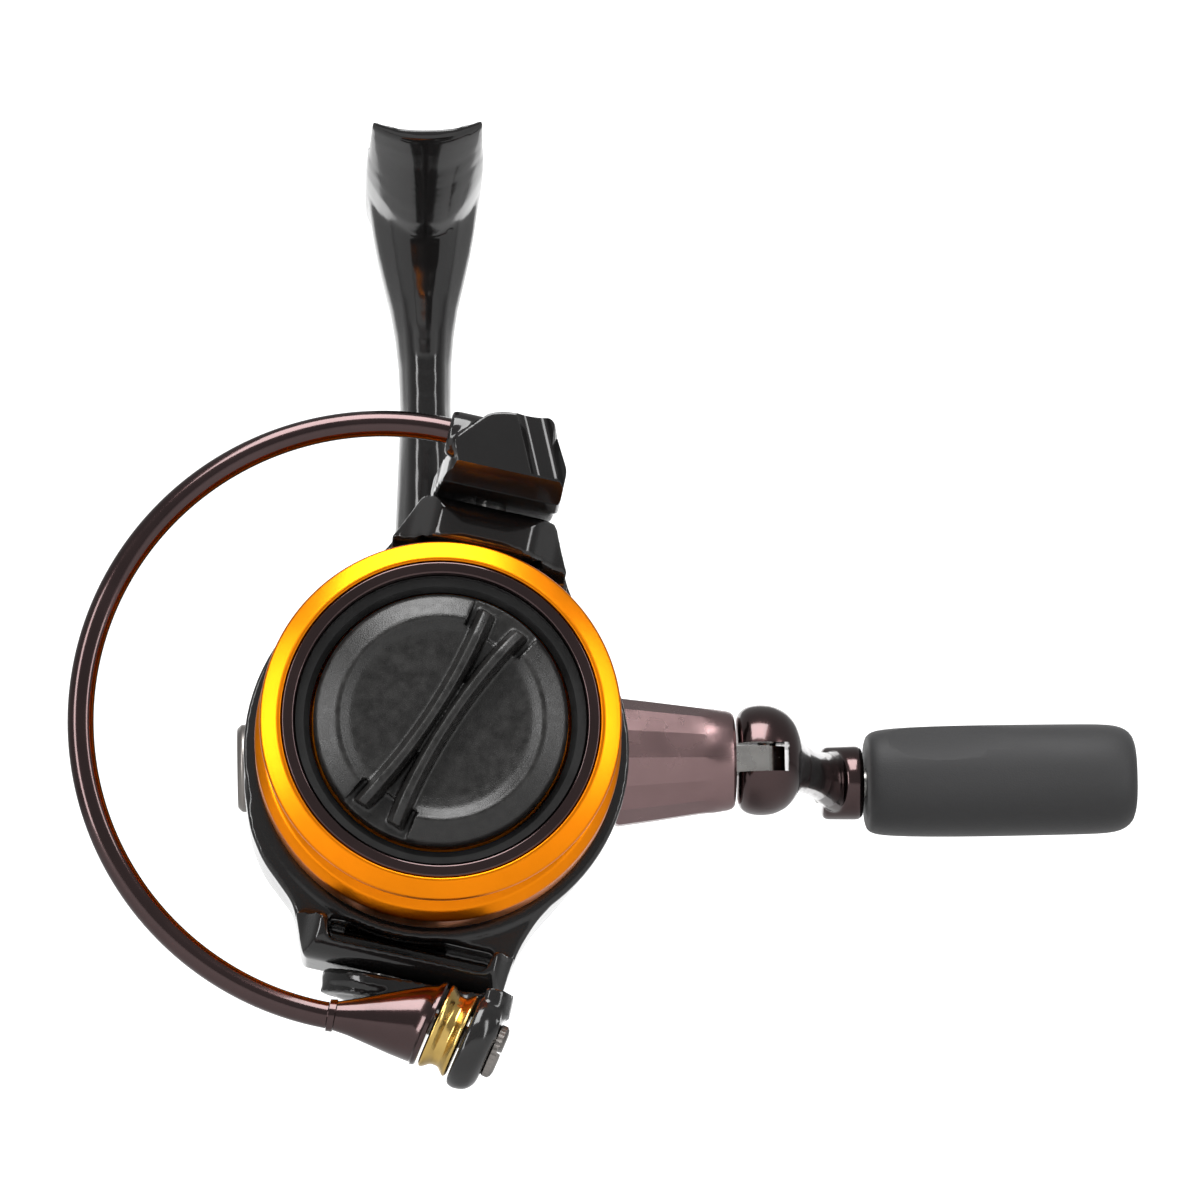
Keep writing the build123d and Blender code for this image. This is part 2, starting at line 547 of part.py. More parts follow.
with BuildPart() as drag_knob:
    turned(SPOOL, [(0.3, 0), (KNOB_FRONT + 0.9, 12.3), (KNOB_FRONT, 12.9), (KNOB_FRONT, 13.8),
                   (KNOB_FRONT + 1.6, DRAG_KNOB_R), (KNOB_REAR, DRAG_KNOB_R), (KNOB_REAR, 14.4), (1.8, 14.0),
                   (1.8, 6.4), (3.2, 6.4), (3.2, 3.0), (1.6, 3.0), (1.6, 2.4), (1.2, 2.4), (1.2, 0)])
    # bow-shaped grip bar, narrow in the middle, with a groove between its two ridges
    half = [(-15.2, 3.6), (-10.0, 2.7), (0, 1.9), (10.0, 2.7), (15.2, 3.6)]
    lean = math.radians(GRIP_ANGLE)
    bar = Plane(origin=(0, LIP_Y + 2.0, AXIS_Z), x_dir=(math.cos(lean), 0, math.sin(lean)),
                z_dir=(0, -1, 0))
    slab(bar, half + [(x, -y) for x, y in reversed(half)], 4.4)
    notch = [(-15.6, 1.3), (-11.0, 0.5), (0, 0.3), (11.0, 0.5), (15.6, 1.3)]
    slab(bar.offset(3.2), notch + [(x, -y) for x, y in reversed(notch)], 2.0, Mode.SUBTRACT)
    ring(SPOOL, -3.0, 5.0, 20.0, DRAG_KNOB_R, mode=Mode.SUBTRACT)
    with BuildSketch(across(0.6)) as pocket:
        RegularPolygon(5.0, 6)
    extrude(pocket.sketch, amount=-2.6, mode=Mode.SUBTRACT)
    ring(SPOOL, 0.6, 5.0, 3.0, mode=Mode.SUBTRACT)
save(drag_knob.part, "drag_knob")

# ---------------------------------------------------------------- rotor

TRIP_SPOT = (4.0, 21.5)    # the bail trip rod, across and up in the rotor's frame
TRIP_R = 1.0
HUB_WEB = (21.8, 24.6)
ARM_HALF = 9.0

# front outlines of the arms, across and out from the spool axis, and each arm's open gap
SPRING_ARM = [(24.7, 2.0), (22.4, 10.0), (18.0, 17.0), (13.5, 22.5), (10.8, 26.0), (ARM_HALF, 31.0),
              (-ARM_HALF, 31.0), (-10.8, 26.0), (-13.5, 22.5), (-18.0, 17.0), (-22.4, 10.0),
              (-24.7, 2.0)]
ROLLER_ARM = [(24.7, 2.0), (22.4, 9.4), (19.6, 14.8), (17.0, 19.4), (15.7, 24.0), (15.0, 31.0),
              (-10.6, 31.0), (-12.0, 27.5), (-15.6, 21.6), (-18.6, 18.6), (-21.2, 14.0),
              (-24.7, 2.0)]
ARM_GAPS = ((-7.5, 7.5), (-8.0, 12.0))

arms = []
for outline, gap in zip((SPRING_ARM, ROLLER_ARM), ARM_GAPS):
    with BuildPart() as rotor_arm:
        slab(beside(-30), [(14.0, ARM_IN), (14.0, 29.8), (15.0, ARM_OUT), (30.4, ARM_OUT),
                           (30.6, 29.3), (34.0, 28.3), (39.0, 24.9), (42.5, 21.0), (43.6, 17.0),
                           (40.0, 13.0), (34.0, 2.0), (RIM_FRONT, 2.0), (RIM_FRONT, ARM_IN)], 60)
        slab(across(10), outline, -40, Mode.INTERSECT)
        ring(SPOOL, 10, 50, 19.4, mode=Mode.SUBTRACT)
        block(gap, (13.0, 39.0), (ARM_IN - 0.1, 27.4), Mode.SUBTRACT)
        fillet(rotor_arm.edges().filter_by(Axis.Y).group_by(Axis.Z)[-1], radius=1.2)
        ring(standing(0, PIVOT_DEPTH, 0), 20, 40, PIVOT_R, mode=Mode.SUBTRACT)
        ring(standing(0, 33.0, 0), 26.0, 40, 0.9, mode=Mode.SUBTRACT)
    arms.append(rotor_arm.part)

with BuildPart() as rotor:
    turned(SPOOL, [(ROTOR_FRONT, 19.8), (ROTOR_FRONT, DRUM_R), (RIM_FRONT, DRUM_R),
                   (RIM_FRONT, RIM_R), (30.0, RIM_R), (36.0, 23.4), (ROTOR_REAR, 18.4),
                   (ROTOR_REAR, 16.4), (36.0, 19.0), (HUB_WEB[1], 19.6), (HUB_WEB[1], JOURNAL_R),
                   (HUB_WEB[0], JOURNAL_R), (HUB_WEB[0], 19.8)])
    add(arms[0])
    add(arms[1].mirror(Plane.XY.offset(AXIS_Z)))
    # pocket for the bail spring, bore for the trip rod, hole for the lock screw
    ring(standing(0, PIVOT_DEPTH, 0), 28.8, 40, 4.4, mode=Mode.SUBTRACT)
    trip_frame = Plane(origin=(TRIP_SPOT[0], LIP_Y, AXIS_Z + TRIP_SPOT[1]), x_dir=(0, 1, 0),
                       z_dir=(1, 0, 0))
    ring(trip_frame, 30.0, 50.0, TRIP_R + RUNNING, mode=Mode.SUBTRACT)
    lock_frame = Plane(origin=(7.4, LIP_Y, AXIS_Z), x_dir=(0, 1, 0), z_dir=(1, 0, 0))
    ring(lock_frame, 20.0, 23.6, 0.9, mode=Mode.SUBTRACT)
save(rotor.part, "rotor", SPOOL_AXIS, ROTOR_TURN)

with BuildPart() as trip_rod:
    turned(trip_frame, [(30.4, 0), (30.4, TRIP_R), (43.0, TRIP_R), (43.4, 0.6), (43.4, 0)])
save(trip_rod.part, "trip_rod", SPOOL_AXIS, ROTOR_TURN)

with BuildPart() as pinion_gear:
    turned(SPOOL, [(18.0, MAIN_R + RUNNING), (18.0, 3.0), (HUB_WEB[0], 3.0), (HUB_WEB[0], JOURNAL_R),
                   (39.6, JOURNAL_R), (39.6, 4.3), (51.2, 4.3), (51.2, PINION_TAIL_R),
                   (60.4, PINION_TAIL_R), (60.4, MAIN_R + RUNNING)])
    slab(across(51.2), gear_outline(PINION_TEETH, 2.5, 4.0, 0.66, 0.22, phase=22.5), -4.2)
    ring(SPOOL, 51.0, 56.0, MAIN_R + RUNNING, mode=Mode.SUBTRACT)
save(pinion_gear.part, "pinion_gear", SPOOL_AXIS, 0)

with BuildPart() as clutch_sleeve:
    ring(SPOOL, HUB_WEB[1], 34.6, CLUTCH_SLEEVE_R, JOURNAL_R)
save(clutch_sleeve.part, "clutch_sleeve")

with BuildPart() as rotor_nut:
    with BuildSketch(across(18.3)) as hexagon:
        RegularPolygon(5.6, 6)
    extrude(hexagon.sketch, amount=-3.5)
    ring(SPOOL, 18.0, 22.0, 3.0, mode=Mode.SUBTRACT)
save(rotor_nut.part, "rotor_nut", SPOOL_AXIS, ROTOR_TURN)

with BuildPart() as nut_lock_plate:
    ring(SPOOL, 21.0, HUB_WEB[0], 9.4)
    with BuildSketch(across(20.5)) as hexagon:
        RegularPolygon(5.65, 6)
    extrude(hexagon.sketch, amount=-2.0, mode=Mode.SUBTRACT)
    ring(lock_frame, 20.0, 23.0, 0.9, mode=Mode.SUBTRACT)
save(nut_lock_plate.part, "nut_lock_plate", SPOOL_AXIS, ROTOR_TURN)

with BuildPart() as nut_lock_screw:
    turned(lock_frame, [(19.9, 0), (19.9, 1.5), (21.0, 1.7), (21.0, 0.9), (23.6, 0.9), (23.6, 0)])
save(nut_lock_screw.part, "nut_lock_screw", SPOOL_AXIS, ROTOR_TURN)

COVER_SIDE = [(30.8, 29.35), (34.0, 28.35), (39.0, 24.95), (41.0, 22.75), (41.5, 23.7),
              (39.4, 26.1), (34.3, 29.5), (31.2, 30.5), (30.8, 30.5)]
with BuildPart() as arm_cover_spring_side:
    slab(beside(-6.8), COVER_SIDE, 13.6)
    ring(standing(0, 33.0, 0), 20.0, 40.0, 0.9, mode=Mode.SUBTRACT)
    ring(standing(0, 33.0, 0), 29.1, 40.0, 1.75, mode=Mode.SUBTRACT)
save(arm_cover_spring_side.part, "arm_cover_spring_side", SPOOL_AXIS, ROTOR_TURN)
arm_cover_roller_side = arm_cover_spring_side.part.mirror(Plane.XY.offset(AXIS_Z))
save(arm_cover_roller_side, "arm_cover_roller_side", SPOOL_AXIS, ROTOR_TURN)

with BuildPart() as arm_cover_screws:
    for side in (-1, 1):
        turned(standing(0, 33.0, 0), [(side * 26.4, 0), (side * 26.4, 0.9), (side * 29.1, 0.9),
                                      (side * 29.1, 1.7), (side * 29.8, 1.5), (side * 29.8, 0)])
save(arm_cover_screws.part, "arm_cover_screws", SPOOL_AXIS, ROTOR_TURN)

with BuildPart() as bail_pivot_screws:
    for side in (-1, 1):
        turned(standing(0, PIVOT_DEPTH, 0),
               [(side * 27.6, 0), (side * 27.6, PIVOT_R), (side * 34.6, PIVOT_R),
                (side * 34.6, 3.6), (side * 35.4, 3.4), (side * 35.8, 2.6), (side * 35.8, 0)])
save(bail_pivot_screws.part, "bail_pivot_screws", SPOOL_AXIS, ROTOR_TURN)

with BuildPart() as bail_spring:
    spring_coil(standing(0, PIVOT_DEPTH, 0), 29.3, 0.75, 1.5, 3.3, 0.3)
save(bail_spring.part, "bail_spring", SPOOL_AXIS, ROTOR_TURN)

# ---------------------------------------------------------------- bail

def wire_sweep(start, end, mode):
    """The bail's round wire, between two angles of its arc."""
    with BuildLine(across(WIRE_DEPTH)) as bow:
        CenterArc(WIRE_ARC_SPOT, WIRE_ARC_R, start, end - start)
    with BuildSketch(Plane(bow.line @ 0, z_dir=bow.line % 0)) as wire:
        Circle(WIRE_R)
    sweep(wire.sketch, path=bow.line, mode=mode)


tilt = math.radians(ROLLER_TILT)
ROLLER = Plane(origin=(ROLLER_SPOT[0], LIP_Y + ROLLER_SPOT[1], AXIS_Z + ROLLER_SPOT[2]),
               x_dir=(math.cos(tilt), 0, -math.sin(tilt)), z_dir=(0, -1, 0))
ROLLER_PIN_R = 1.5

with BuildPart() as bail_holder:
    ring(standing(0, PIVOT_DEPTH, 0), BAIL_FACE, BAIL_FACE + 3.4, 8.0)
    slab(above(BAIL_FACE), [(-7.9, 23.0), (-6.0, 12.0), (8.2, 12.0), (7.9, 23.0)], 3.4)
    slab(across(1.5), [(-4.2, BAIL_FACE + 0.2), (-5.4, 33.6), (-6.8, 34.2), (-6.8, 39.0), (-2.6, 39.4),
                       (-0.6, 40.2), (5.5, 40.6), (8.6, 34.6), (8.2, BAIL_FACE + 0.2)], -13.5)
    chamfer(bail_holder.edges().filter_by(Axis.Y).group_by(Axis.Z)[-1], length=0.8)
    ring(standing(0, PIVOT_DEPTH, 0), 20, 45, PIVOT_R + RUNNING, mode=Mode.SUBTRACT)
    wire_sweep(80.0, 102.0, Mode.SUBTRACT)
save(bail_holder.part, "bail_holder", SPOOL_AXIS, ROTOR_TURN)

with BuildPart() as bail_arm:
    ring(standing(0, PIVOT_DEPTH, 0), -BAIL_FACE - BAIL_PLATE, -BAIL_FACE, 8.0)
    slab(above(-BAIL_FACE - BAIL_PLATE),
         [(-7.6, 24.4), (-7.9, 20.5), (-4.0, 15.6), (5.0, 13.6), (11.0, 12.6), (12.8, 9.5),
          (12.8, 1.6), (15.4, 2.2), (16.6, 6.5), (15.6, 12.5), (12.0, 18.6), (7.4, 25.0)], BAIL_PLATE)
    turned(ROLLER, [(2.1, 0), (2.1, 6.1), (4.9, 6.1), (5.8, 5.1), (5.8, 0)])
    ring(ROLLER, 0, 9, ROLLER_PIN_R, mode=Mode.SUBTRACT)
    ring(standing(0, PIVOT_DEPTH, 0), -45, -20, PIVOT_R + RUNNING, mode=Mode.SUBTRACT)
save(bail_arm.part, "bail_arm", SPOOL_AXIS, ROTOR_TURN)

CONE_TIP = (-5.6, WIRE_DEPTH, -38.44)
with BuildPart() as bail_wire:
    wire_sweep(80.0, 273.2, Mode.ADD)
    tip = Plane(origin=(CONE_TIP[0], LIP_Y + CONE_TIP[1], AXIS_Z + CONE_TIP[2]), x_dir=(0, 1, 0),
                z_dir=(1, 0, 0))
    with BuildSketch(tip) as small_end:
        Circle(WIRE_R)
    wide = Plane(origin=ROLLER.origin - ROLLER.x_dir * 2.6, x_dir=(0, 1, 0), z_dir=ROLLER.x_dir)
    with BuildSketch(wide) as big_end:
        Circle(5.4)
    loft([small_end.sketch.face(), big_end.sketch.face()])
    ring(ROLLER, -2.7, -2.1, 5.4)
    ring(ROLLER, -6.5, 0, ROLLER_PIN_R, mode=Mode.SUBTRACT)
save(bail_wire.part, "bail_wire", SPOOL_AXIS, ROTOR_TURN)

with BuildPart() as roller_screw:
    turned(ROLLER, [(-6.2, 0), (-6.2, ROLLER_PIN_R), (5.8, ROLLER_PIN_R), (5.8, 3.4), (6.6, 3.4),
                    (7.1, 2.8), (7.1, 0)])
    slot = Plane(origin=ROLLER.origin + ROLLER.x_dir * 6.6, x_dir=(0, 1, 0), z_dir=ROLLER.x_dir)
    with BuildSketch(slot) as slot_sketch:
        Rectangle(8, 0.9)
    extrude(slot_sketch.sketch, amount=2, mode=Mode.SUBTRACT)
save(roller_screw.part, "roller_screw", SPOOL_AXIS, ROTOR_TURN)

with BuildPart() as line_roller:
    turned(ROLLER, [(-1.8, ROLLER_PIN_R + RUNNING), (-1.8, 5.3), (-1.5, ROLLER_R), (-1.1, 5.3),
                    (-0.3, 4.5), (0.6, 4.5), (1.3, 5.3), (1.6, ROLLER_R), (1.8, 5.3),
                    (1.8, ROLLER_PIN_R + RUNNING)])
save(line_roller.part, "line_roller", SPOOL_AXIS, ROTOR_TURN)

# ---------------------------------------------------------------- handle arm and knob

ARM_THICK = 3.4
EYE = (56.8, 62.8)
EYE_R = 5.3
KNOB_DEPTH = DRIVE_DEPTH + ARM_LENGTH
KNOB = lying(KNOB_DEPTH, DRIVE_RISE)

with BuildPart() as handle_arm:
    # dome-ended knuckle, relieved on the side that folds towards the shank
    turned(DRIVE, [(SHANK_END + 0.3, 0), (SHANK_END + 0.3, 6.2), (42.3, 7.1), (44.6, 7.5),
                   (47.2, 7.2), (49.2, 6.0), (50.3, 4.0), (50.3, 0)])
    with BuildSketch(above(DRIVE_RISE - 9)) as kept:
        with Locations((46.2, DRIVE_DEPTH - 4.5)):
            Rectangle(10, 9)
        with Locations((FOLD_X, DRIVE_DEPTH)):
            Circle(FOLD_R - 0.15)
        with Locations((49.4, DRIVE_DEPTH + 4)):
            Rectangle(3.3, 8)
    extrude(kept.sketch, amount=18, mode=Mode.INTERSECT)
    slab(above(DRIVE_RISE - ARM_THICK),
         [(47.8, 71.5), (50.3, 69.5), (51.6, 73.0), (54.6, 84.0), (58.2, 99.0), (EYE[1], 110.0),
          (EYE[1], KNOB_DEPTH), (EYE[0], KNOB_DEPTH), (56.4, 112.0), (53.6, 101.0), (50.4, 87.0),
          (47.8, 77.0)], 2 * ARM_THICK)
    ring(KNOB, EYE[0], EYE[1], EYE_R)
    # slot for the tongue, pin bore, spindle bore
    block((SHANK_END, 48.3), (60, 80), (DRIVE_RISE - TONGUE - 0.15, DRIVE_RISE + TONGUE + 0.15),
          Mode.SUBTRACT)
    ring(standing(FOLD_X, DRIVE_DEPTH, DRIVE_RISE), -5.5, 5.5, PIN_R, mode=Mode.SUBTRACT)
    ring(KNOB, 50, 70, SPINDLE_R, mode=Mode.SUBTRACT)
    ring(KNOB, 50, EYE[0], 3.0, mode=Mode.SUBTRACT)
save(handle_arm.part, "handle_arm", DRIVE_AXIS, HANDLE_TURN)

with BuildPart() as fold_pin:
    ring(standing(FOLD_X, DRIVE_DEPTH, DRIVE_RISE), -5.4, 5.4, PIN_R)
save(fold_pin.part, "fold_pin", DRIVE_AXIS, HANDLE_TURN)

with BuildPart() as knob_spindle:
    turned(KNOB, [(55.8, 0), (55.8, 2.2), (56.2, 2.8), (EYE[0], 2.8), (EYE[0], SPINDLE_R),
                  (96.6, SPINDLE_R), (96.6, 3.2), (98.0, 3.2), (98.0, 0)])
save(knob_spindle.part, "knob_spindle", DRIVE_AXIS, HANDLE_TURN)

KNOB_SECTIONS = ((KNOB_START, 7.6, 6.8), (65.0, 8.4, 7.4), (80.0, 8.0, 7.0), (95.0, 8.9, 8.0),
                 (100.0, 8.6, 7.7), (KNOB_END, 6.6, 5.8))
with BuildPart() as handle_knob:
    rims = []
    for x, half_depth, half_height in KNOB_SECTIONS:
        with BuildSketch(Plane(origin=(x, LIP_Y + KNOB_DEPTH, AXIS_Z + DRIVE_RISE), x_dir=(0, 1, 0),
                               z_dir=(1, 0, 0)), mode=Mode.PRIVATE) as rim:
            Ellipse(half_depth, half_height)
        rims.append(rim.sketch.face())
    loft(rims, ruled=True)
    ring(KNOB, 60, KNOB_END + 1, SPINDLE_R + RUNNING, mode=Mode.SUBTRACT)
    ring(KNOB, 96.2, KNOB_END + 1, 3.7, mode=Mode.SUBTRACT)
save(handle_knob.part, "handle_knob", DRIVE_AXIS, HANDLE_TURN)

with BuildPart() as knob_end_cap:
    ring(KNOB, 99.4, KNOB_END - 0.2, 3.7)
save(knob_end_cap.part, "knob_end_cap", DRIVE_AXIS, HANDLE_TURN)
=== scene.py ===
import json
import math

import bmesh
import bpy
from mathutils import Matrix, Vector


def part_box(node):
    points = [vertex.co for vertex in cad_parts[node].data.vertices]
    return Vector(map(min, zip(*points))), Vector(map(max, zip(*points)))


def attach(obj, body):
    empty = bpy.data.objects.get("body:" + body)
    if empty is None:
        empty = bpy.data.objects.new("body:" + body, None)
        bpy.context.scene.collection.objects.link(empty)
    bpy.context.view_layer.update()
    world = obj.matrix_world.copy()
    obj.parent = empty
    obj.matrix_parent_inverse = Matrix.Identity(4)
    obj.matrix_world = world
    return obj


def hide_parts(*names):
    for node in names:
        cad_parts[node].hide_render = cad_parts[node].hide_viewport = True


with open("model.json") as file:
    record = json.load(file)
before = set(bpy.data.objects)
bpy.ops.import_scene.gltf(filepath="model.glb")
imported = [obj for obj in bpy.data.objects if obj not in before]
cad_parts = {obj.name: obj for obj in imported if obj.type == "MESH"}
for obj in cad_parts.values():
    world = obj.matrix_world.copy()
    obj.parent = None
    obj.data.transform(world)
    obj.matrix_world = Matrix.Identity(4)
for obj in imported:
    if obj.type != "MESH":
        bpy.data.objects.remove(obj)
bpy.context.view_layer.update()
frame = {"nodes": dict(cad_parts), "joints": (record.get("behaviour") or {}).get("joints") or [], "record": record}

# ---------------------------------------------------------------- body casting
# The body, stem and foot are one moulding in graphite-filled nylon under a thick gloss
# lacquer. The gearbox is open on the cover side, the nose tube runs into the rotor, and
# every junction carries the mould's soft radius.

lip_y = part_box("spool_body")[0].y
rotor_joint = next(j for j in frame["joints"] if j["name"] == "rotor_turn")
drive_joint = next(j for j in frame["joints"] if j["name"] == "handle_turn")
axis_z = rotor_joint["pos_m"][2]

# Working millimetres: x across, y behind the spool's lip, z above the spool's axis.
BENCH = Matrix.Translation((0, lip_y, axis_z)) @ Matrix.Scale(0.001, 4)
ALONG_SPOOL = Matrix(((0, 1, 0, 0), (1, 0, 0, 0), (0, 0, -1, 0), (0, 0, 0, 1)))
drive_depth = (drive_joint["pos_m"][1] - lip_y) * 1000
drive_rise = (drive_joint["pos_m"][2] - axis_z) * 1000
ALONG_DRIVE = Matrix.Translation((0, drive_depth, drive_rise))


def circle_of(steps, radius=1.0):
    """Points of a circle in the (y, z) plane."""
    turn = 2 * math.pi / steps
    return [(radius * math.cos(k * turn), radius * math.sin(k * turn)) for k in range(steps)]


def band(bm, low, high):
    """Faces between two rings of vertices; either ring may be a single point."""
    count = max(len(low), len(high))
    if count == 1:
        return
    for k in range(count):
        quad = [low[k % len(low)], low[(k + 1) % len(low)],
                high[(k + 1) % len(high)], high[k % len(high)]]
        bm.faces.new(list(dict.fromkeys(quad)))


def skin(rings, place=Matrix.Identity(4)):
    """A closed bmesh through rings of equal length; a ring of one point is a tip."""
    bm = bmesh.new()
    rows = [[bm.verts.new(place @ Vector(p)) for p in ring] for ring in rings]
    for low, high in zip(rows, rows[1:]):
        band(bm, low, high)
    for row in (rows[0], rows[-1]):
        if len(row) > 2:
            bm.faces.new(row)
    bmesh.ops.recalc_face_normals(bm, faces=bm.faces)
    return bm


def eased(points, radius, steps=4, closed=True):
    """Round the corners of an outline with short arcs."""
    done = []
    count = len(points)
    for k, here in enumerate(points):
        if not closed and k in (0, count - 1):
            done.append(tuple(here))
            continue
        here, before, after = Vector(here), Vector(points[k - 1]), Vector(points[(k + 1) % count])
        back, on = before - here, after - here
        reach = min(radius, 0.45 * back.length, 0.45 * on.length)
        start, end = here + back.normalized() * reach, here + on.normalized() * reach
        for s in range(steps + 1):
            t = s / steps
            done.append(tuple((1 - t) ** 2 * start + 2 * t * (1 - t) * here + t * t * end))
    return done


def turned(outline, place, ease=0.25, steps=96, closed=True):
    """Lathe-turned form: (along, radius) points about the placed x axis."""
    profile = eased(outline, ease, closed=closed)
    bm = bmesh.new()
    rows = []
    for along, radius in profile:
        if radius < 1e-4:
            rows.append([bm.verts.new(place @ Vector((along, 0, 0)))])
        else:
            rows.append([bm.verts.new(place @ Vector((along, y, z)))
                         for y, z in circle_of(steps, radius)])
    pairs = list(zip(rows, rows[1:])) + ([(rows[-1], rows[0])] if closed else [])
    for low, high in pairs:
        band(bm, low, high)
    bmesh.ops.recalc_face_normals(bm, faces=bm.faces)
    return bm


def plate(outline, start, end, across="x", ease=0.0, place=Matrix.Identity(4)):
    """A flat-sided form: an outline pushed from start to end along x, y or z."""
    outline = eased(outline, ease) if ease else outline
    order = {"x": lambda p, s: (s, p[0], p[1]), "y": lambda p, s: (p[0], s, p[1]),
             "z": lambda p, s: (p[0], p[1], s)}[across]
    return skin([[order(p, s) for p in outline] for s in (start, end)], place)


def part(name, *forms):
    """One object from bmeshes in working millimetres, in its place in the frame."""
    mesh = bpy.data.meshes.new(name)
    whole = bmesh.new()
    for form in forms:
        form.to_mesh(mesh)
        form.free()
        whole.from_mesh(mesh)
    whole.to_mesh(mesh)
    whole.free()
    mesh.transform(BENCH)
    piece = bpy.data.objects.new(name, mesh)
    bpy.context.scene.collection.objects.link(piece)
    return piece


def join(piece, *others):
    """Move other pieces' faces into one piece."""
    whole = bmesh.new()
    whole.from_mesh(piece.data)
    for other in others:
        whole.from_mesh(other.data)
        bpy.data.objects.remove(other)
    whole.to_mesh(piece.data)
    whole.free()
    return piece


def settle(piece):
    """Apply a piece's modifiers."""
    bpy.context.view_layer.update()
    graph = bpy.context.evaluated_depsgraph_get()
    mesh = bpy.data.meshes.new_from_object(piece.evaluated_get(graph))
    piece.modifiers.clear()
    piece.data = mesh
    return piece


def fuse(piece, grain, rounds):
    """Melt a piece's overlapping forms into one skin and round every edge."""
    melt = piece.modifiers.new("melt", "REMESH")
    melt.mode = "VOXEL"
    melt.voxel_size = grain / 1000
    relax = piece.modifiers.new("relax", "SMOOTH")
    relax.factor = 0.5
    relax.iterations = rounds
    return settle(piece)


def carve(piece, cutter, how="DIFFERENCE"):
    """Cut one piece with another, or keep what they share."""
    cut = piece.modifiers.new("cut", "BOOLEAN")
    cut.operation = how
    cut.object = cutter
    cut.solver = "EXACT"
    settle(piece)
    bpy.data.objects.remove(cutter)
    return piece


def drill(piece, place, *steps, ease=0.02, sides=96):
    """Cut a stepped round hole along the placed x axis; a step is (start, end, radius)."""
    outline = [point for start, end, radius in steps for point in ((start, radius), (end, radius))]
    outline = [(steps[0][0], 0), *outline, (steps[-1][1], 0)]
    return carve(piece, part("drill", turned(outline, place, ease, sides, closed=False)))


def fit(piece, body, slot, finish, *stands_for, crease=35):
    """Give a piece its finish and body, and shade it smooth up to its creases."""
    piece.data.materials.clear()
    piece.data.materials.append(finish)
    piece.data.shade_smooth()
    if crease:
        piece.data.set_sharp_from_angle(angle=math.radians(crease))
    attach(piece, body)
    if stands_for:
        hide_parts(*stands_for)
    return piece


def blank_finish(name, colour, metal, rough):
    """A material with its shader's plain numbers set."""
    finish = bpy.data.materials.new(name)
    finish.use_nodes = True
    shader = finish.node_tree.nodes["Principled BSDF"]
    shader.inputs["Base Color"].default_value = (*colour, 1)
    shader.inputs["Metallic"].default_value = metal
    shader.inputs["Roughness"].default_value = rough
    return finish, shader


def mottle(finish, shader, colour, size, shade, rough, rough_swing, bump, fine):
    """Slow tone and gloss changes over `size` mm, and a fine relief of `fine` mm."""
    nodes, links = finish.node_tree.nodes, finish.node_tree.links
    where = nodes.new("ShaderNodeTexCoord")
    slow = nodes.new("ShaderNodeTexNoise")
    slow.inputs["Scale"].default_value = 1000 / size
    slow.inputs["Detail"].default_value = 3
    links.new(where.outputs["Object"], slow.inputs["Vector"])
    tones = nodes.new("ShaderNodeValToRGB")
    tones.color_ramp.elements[0].position = 0.3
    tones.color_ramp.elements[1].position = 0.7
    tones.color_ramp.elements[0].color = (*[c * (1 - shade) for c in colour], 1)
    tones.color_ramp.elements[1].color = (*[min(1, c * (1 + shade)) for c in colour], 1)
    links.new(slow.outputs["Fac"], tones.inputs["Fac"])
    links.new(tones.outputs["Color"], shader.inputs["Base Color"])
    gloss = nodes.new("ShaderNodeMapRange")
    gloss.inputs["From Min"].default_value = 0.3
    gloss.inputs["From Max"].default_value = 0.7
    gloss.inputs["To Min"].default_value = rough - rough_swing
    gloss.inputs["To Max"].default_value = rough + rough_swing
    links.new(slow.outputs["Fac"], gloss.inputs["Value"])
    links.new(gloss.outputs["Result"], shader.inputs["Roughness"])
    relief = nodes.new("ShaderNodeTexNoise")
    relief.inputs["Scale"].default_value = 1000 / fine
    relief.inputs["Detail"].default_value = 2
    links.new(where.outputs["Object"], relief.inputs["Vector"])
    lift = nodes.new("ShaderNodeBump")
    lift.inputs["Strength"].default_value = bump
    lift.inputs["Distance"].default_value = 0.0001
    links.new(relief.outputs["Fac"], lift.inputs["Height"])
    links.new(lift.outputs["Normal"], shader.inputs["Normal"])
    return lift


def gloss_black_lacquer():
    """Deep black lacquer with a very slight orange peel."""
    colour = (0.009, 0.0085, 0.0085)
    finish, shader = blank_finish("gloss_black_lacquer", colour, 0.0, 0.1)
    shader.inputs["IOR"].default_value = 1.55
    mottle(finish, shader, colour, size=18, shade=0.15, rough=0.14, rough_swing=0.03,
           bump=0.06, fine=1.6)
    return finish


black_lacquer = gloss_black_lacquer()

BOX_LOBES = ((70.0, 4.35, 21.3), (82.0, -1.8, 17.2), (60.0, 0.0, 14.6))
BOX_LEFT, BOX_RIGHT, BOX_WALL = -10.5, 12.5, 1.8
SHANK_START = 24.8


def box_ring(x, grow, steps=144):
    """The gearbox's side outline at x: the hull of three circles, grown or shrunk."""
    ring = []
    for cy, cz in circle_of(steps):
        y, z, r = max(BOX_LOBES, key=lambda lobe: lobe[0] * cy + lobe[1] * cz + lobe[2])
        ring.append((x, y + (r + grow) * cy, z + (r + grow) * cz))
    return ring


def dome(x_flat, x_crown, edge, steps=6):
    """Rings that roll the gearbox's edge over from its side to its crown."""
    rings = []
    for k in range(steps + 1):
        turn = 0.5 * math.pi * k / steps
        rings.append(box_ring(x_flat + (x_crown - x_flat) * math.sin(turn),
                              -edge * (1 - math.cos(turn))))
    return rings


shell = skin([box_ring(BOX_LEFT, 0)] + dome(BOX_RIGHT - 4.5, BOX_RIGHT, 5.0))
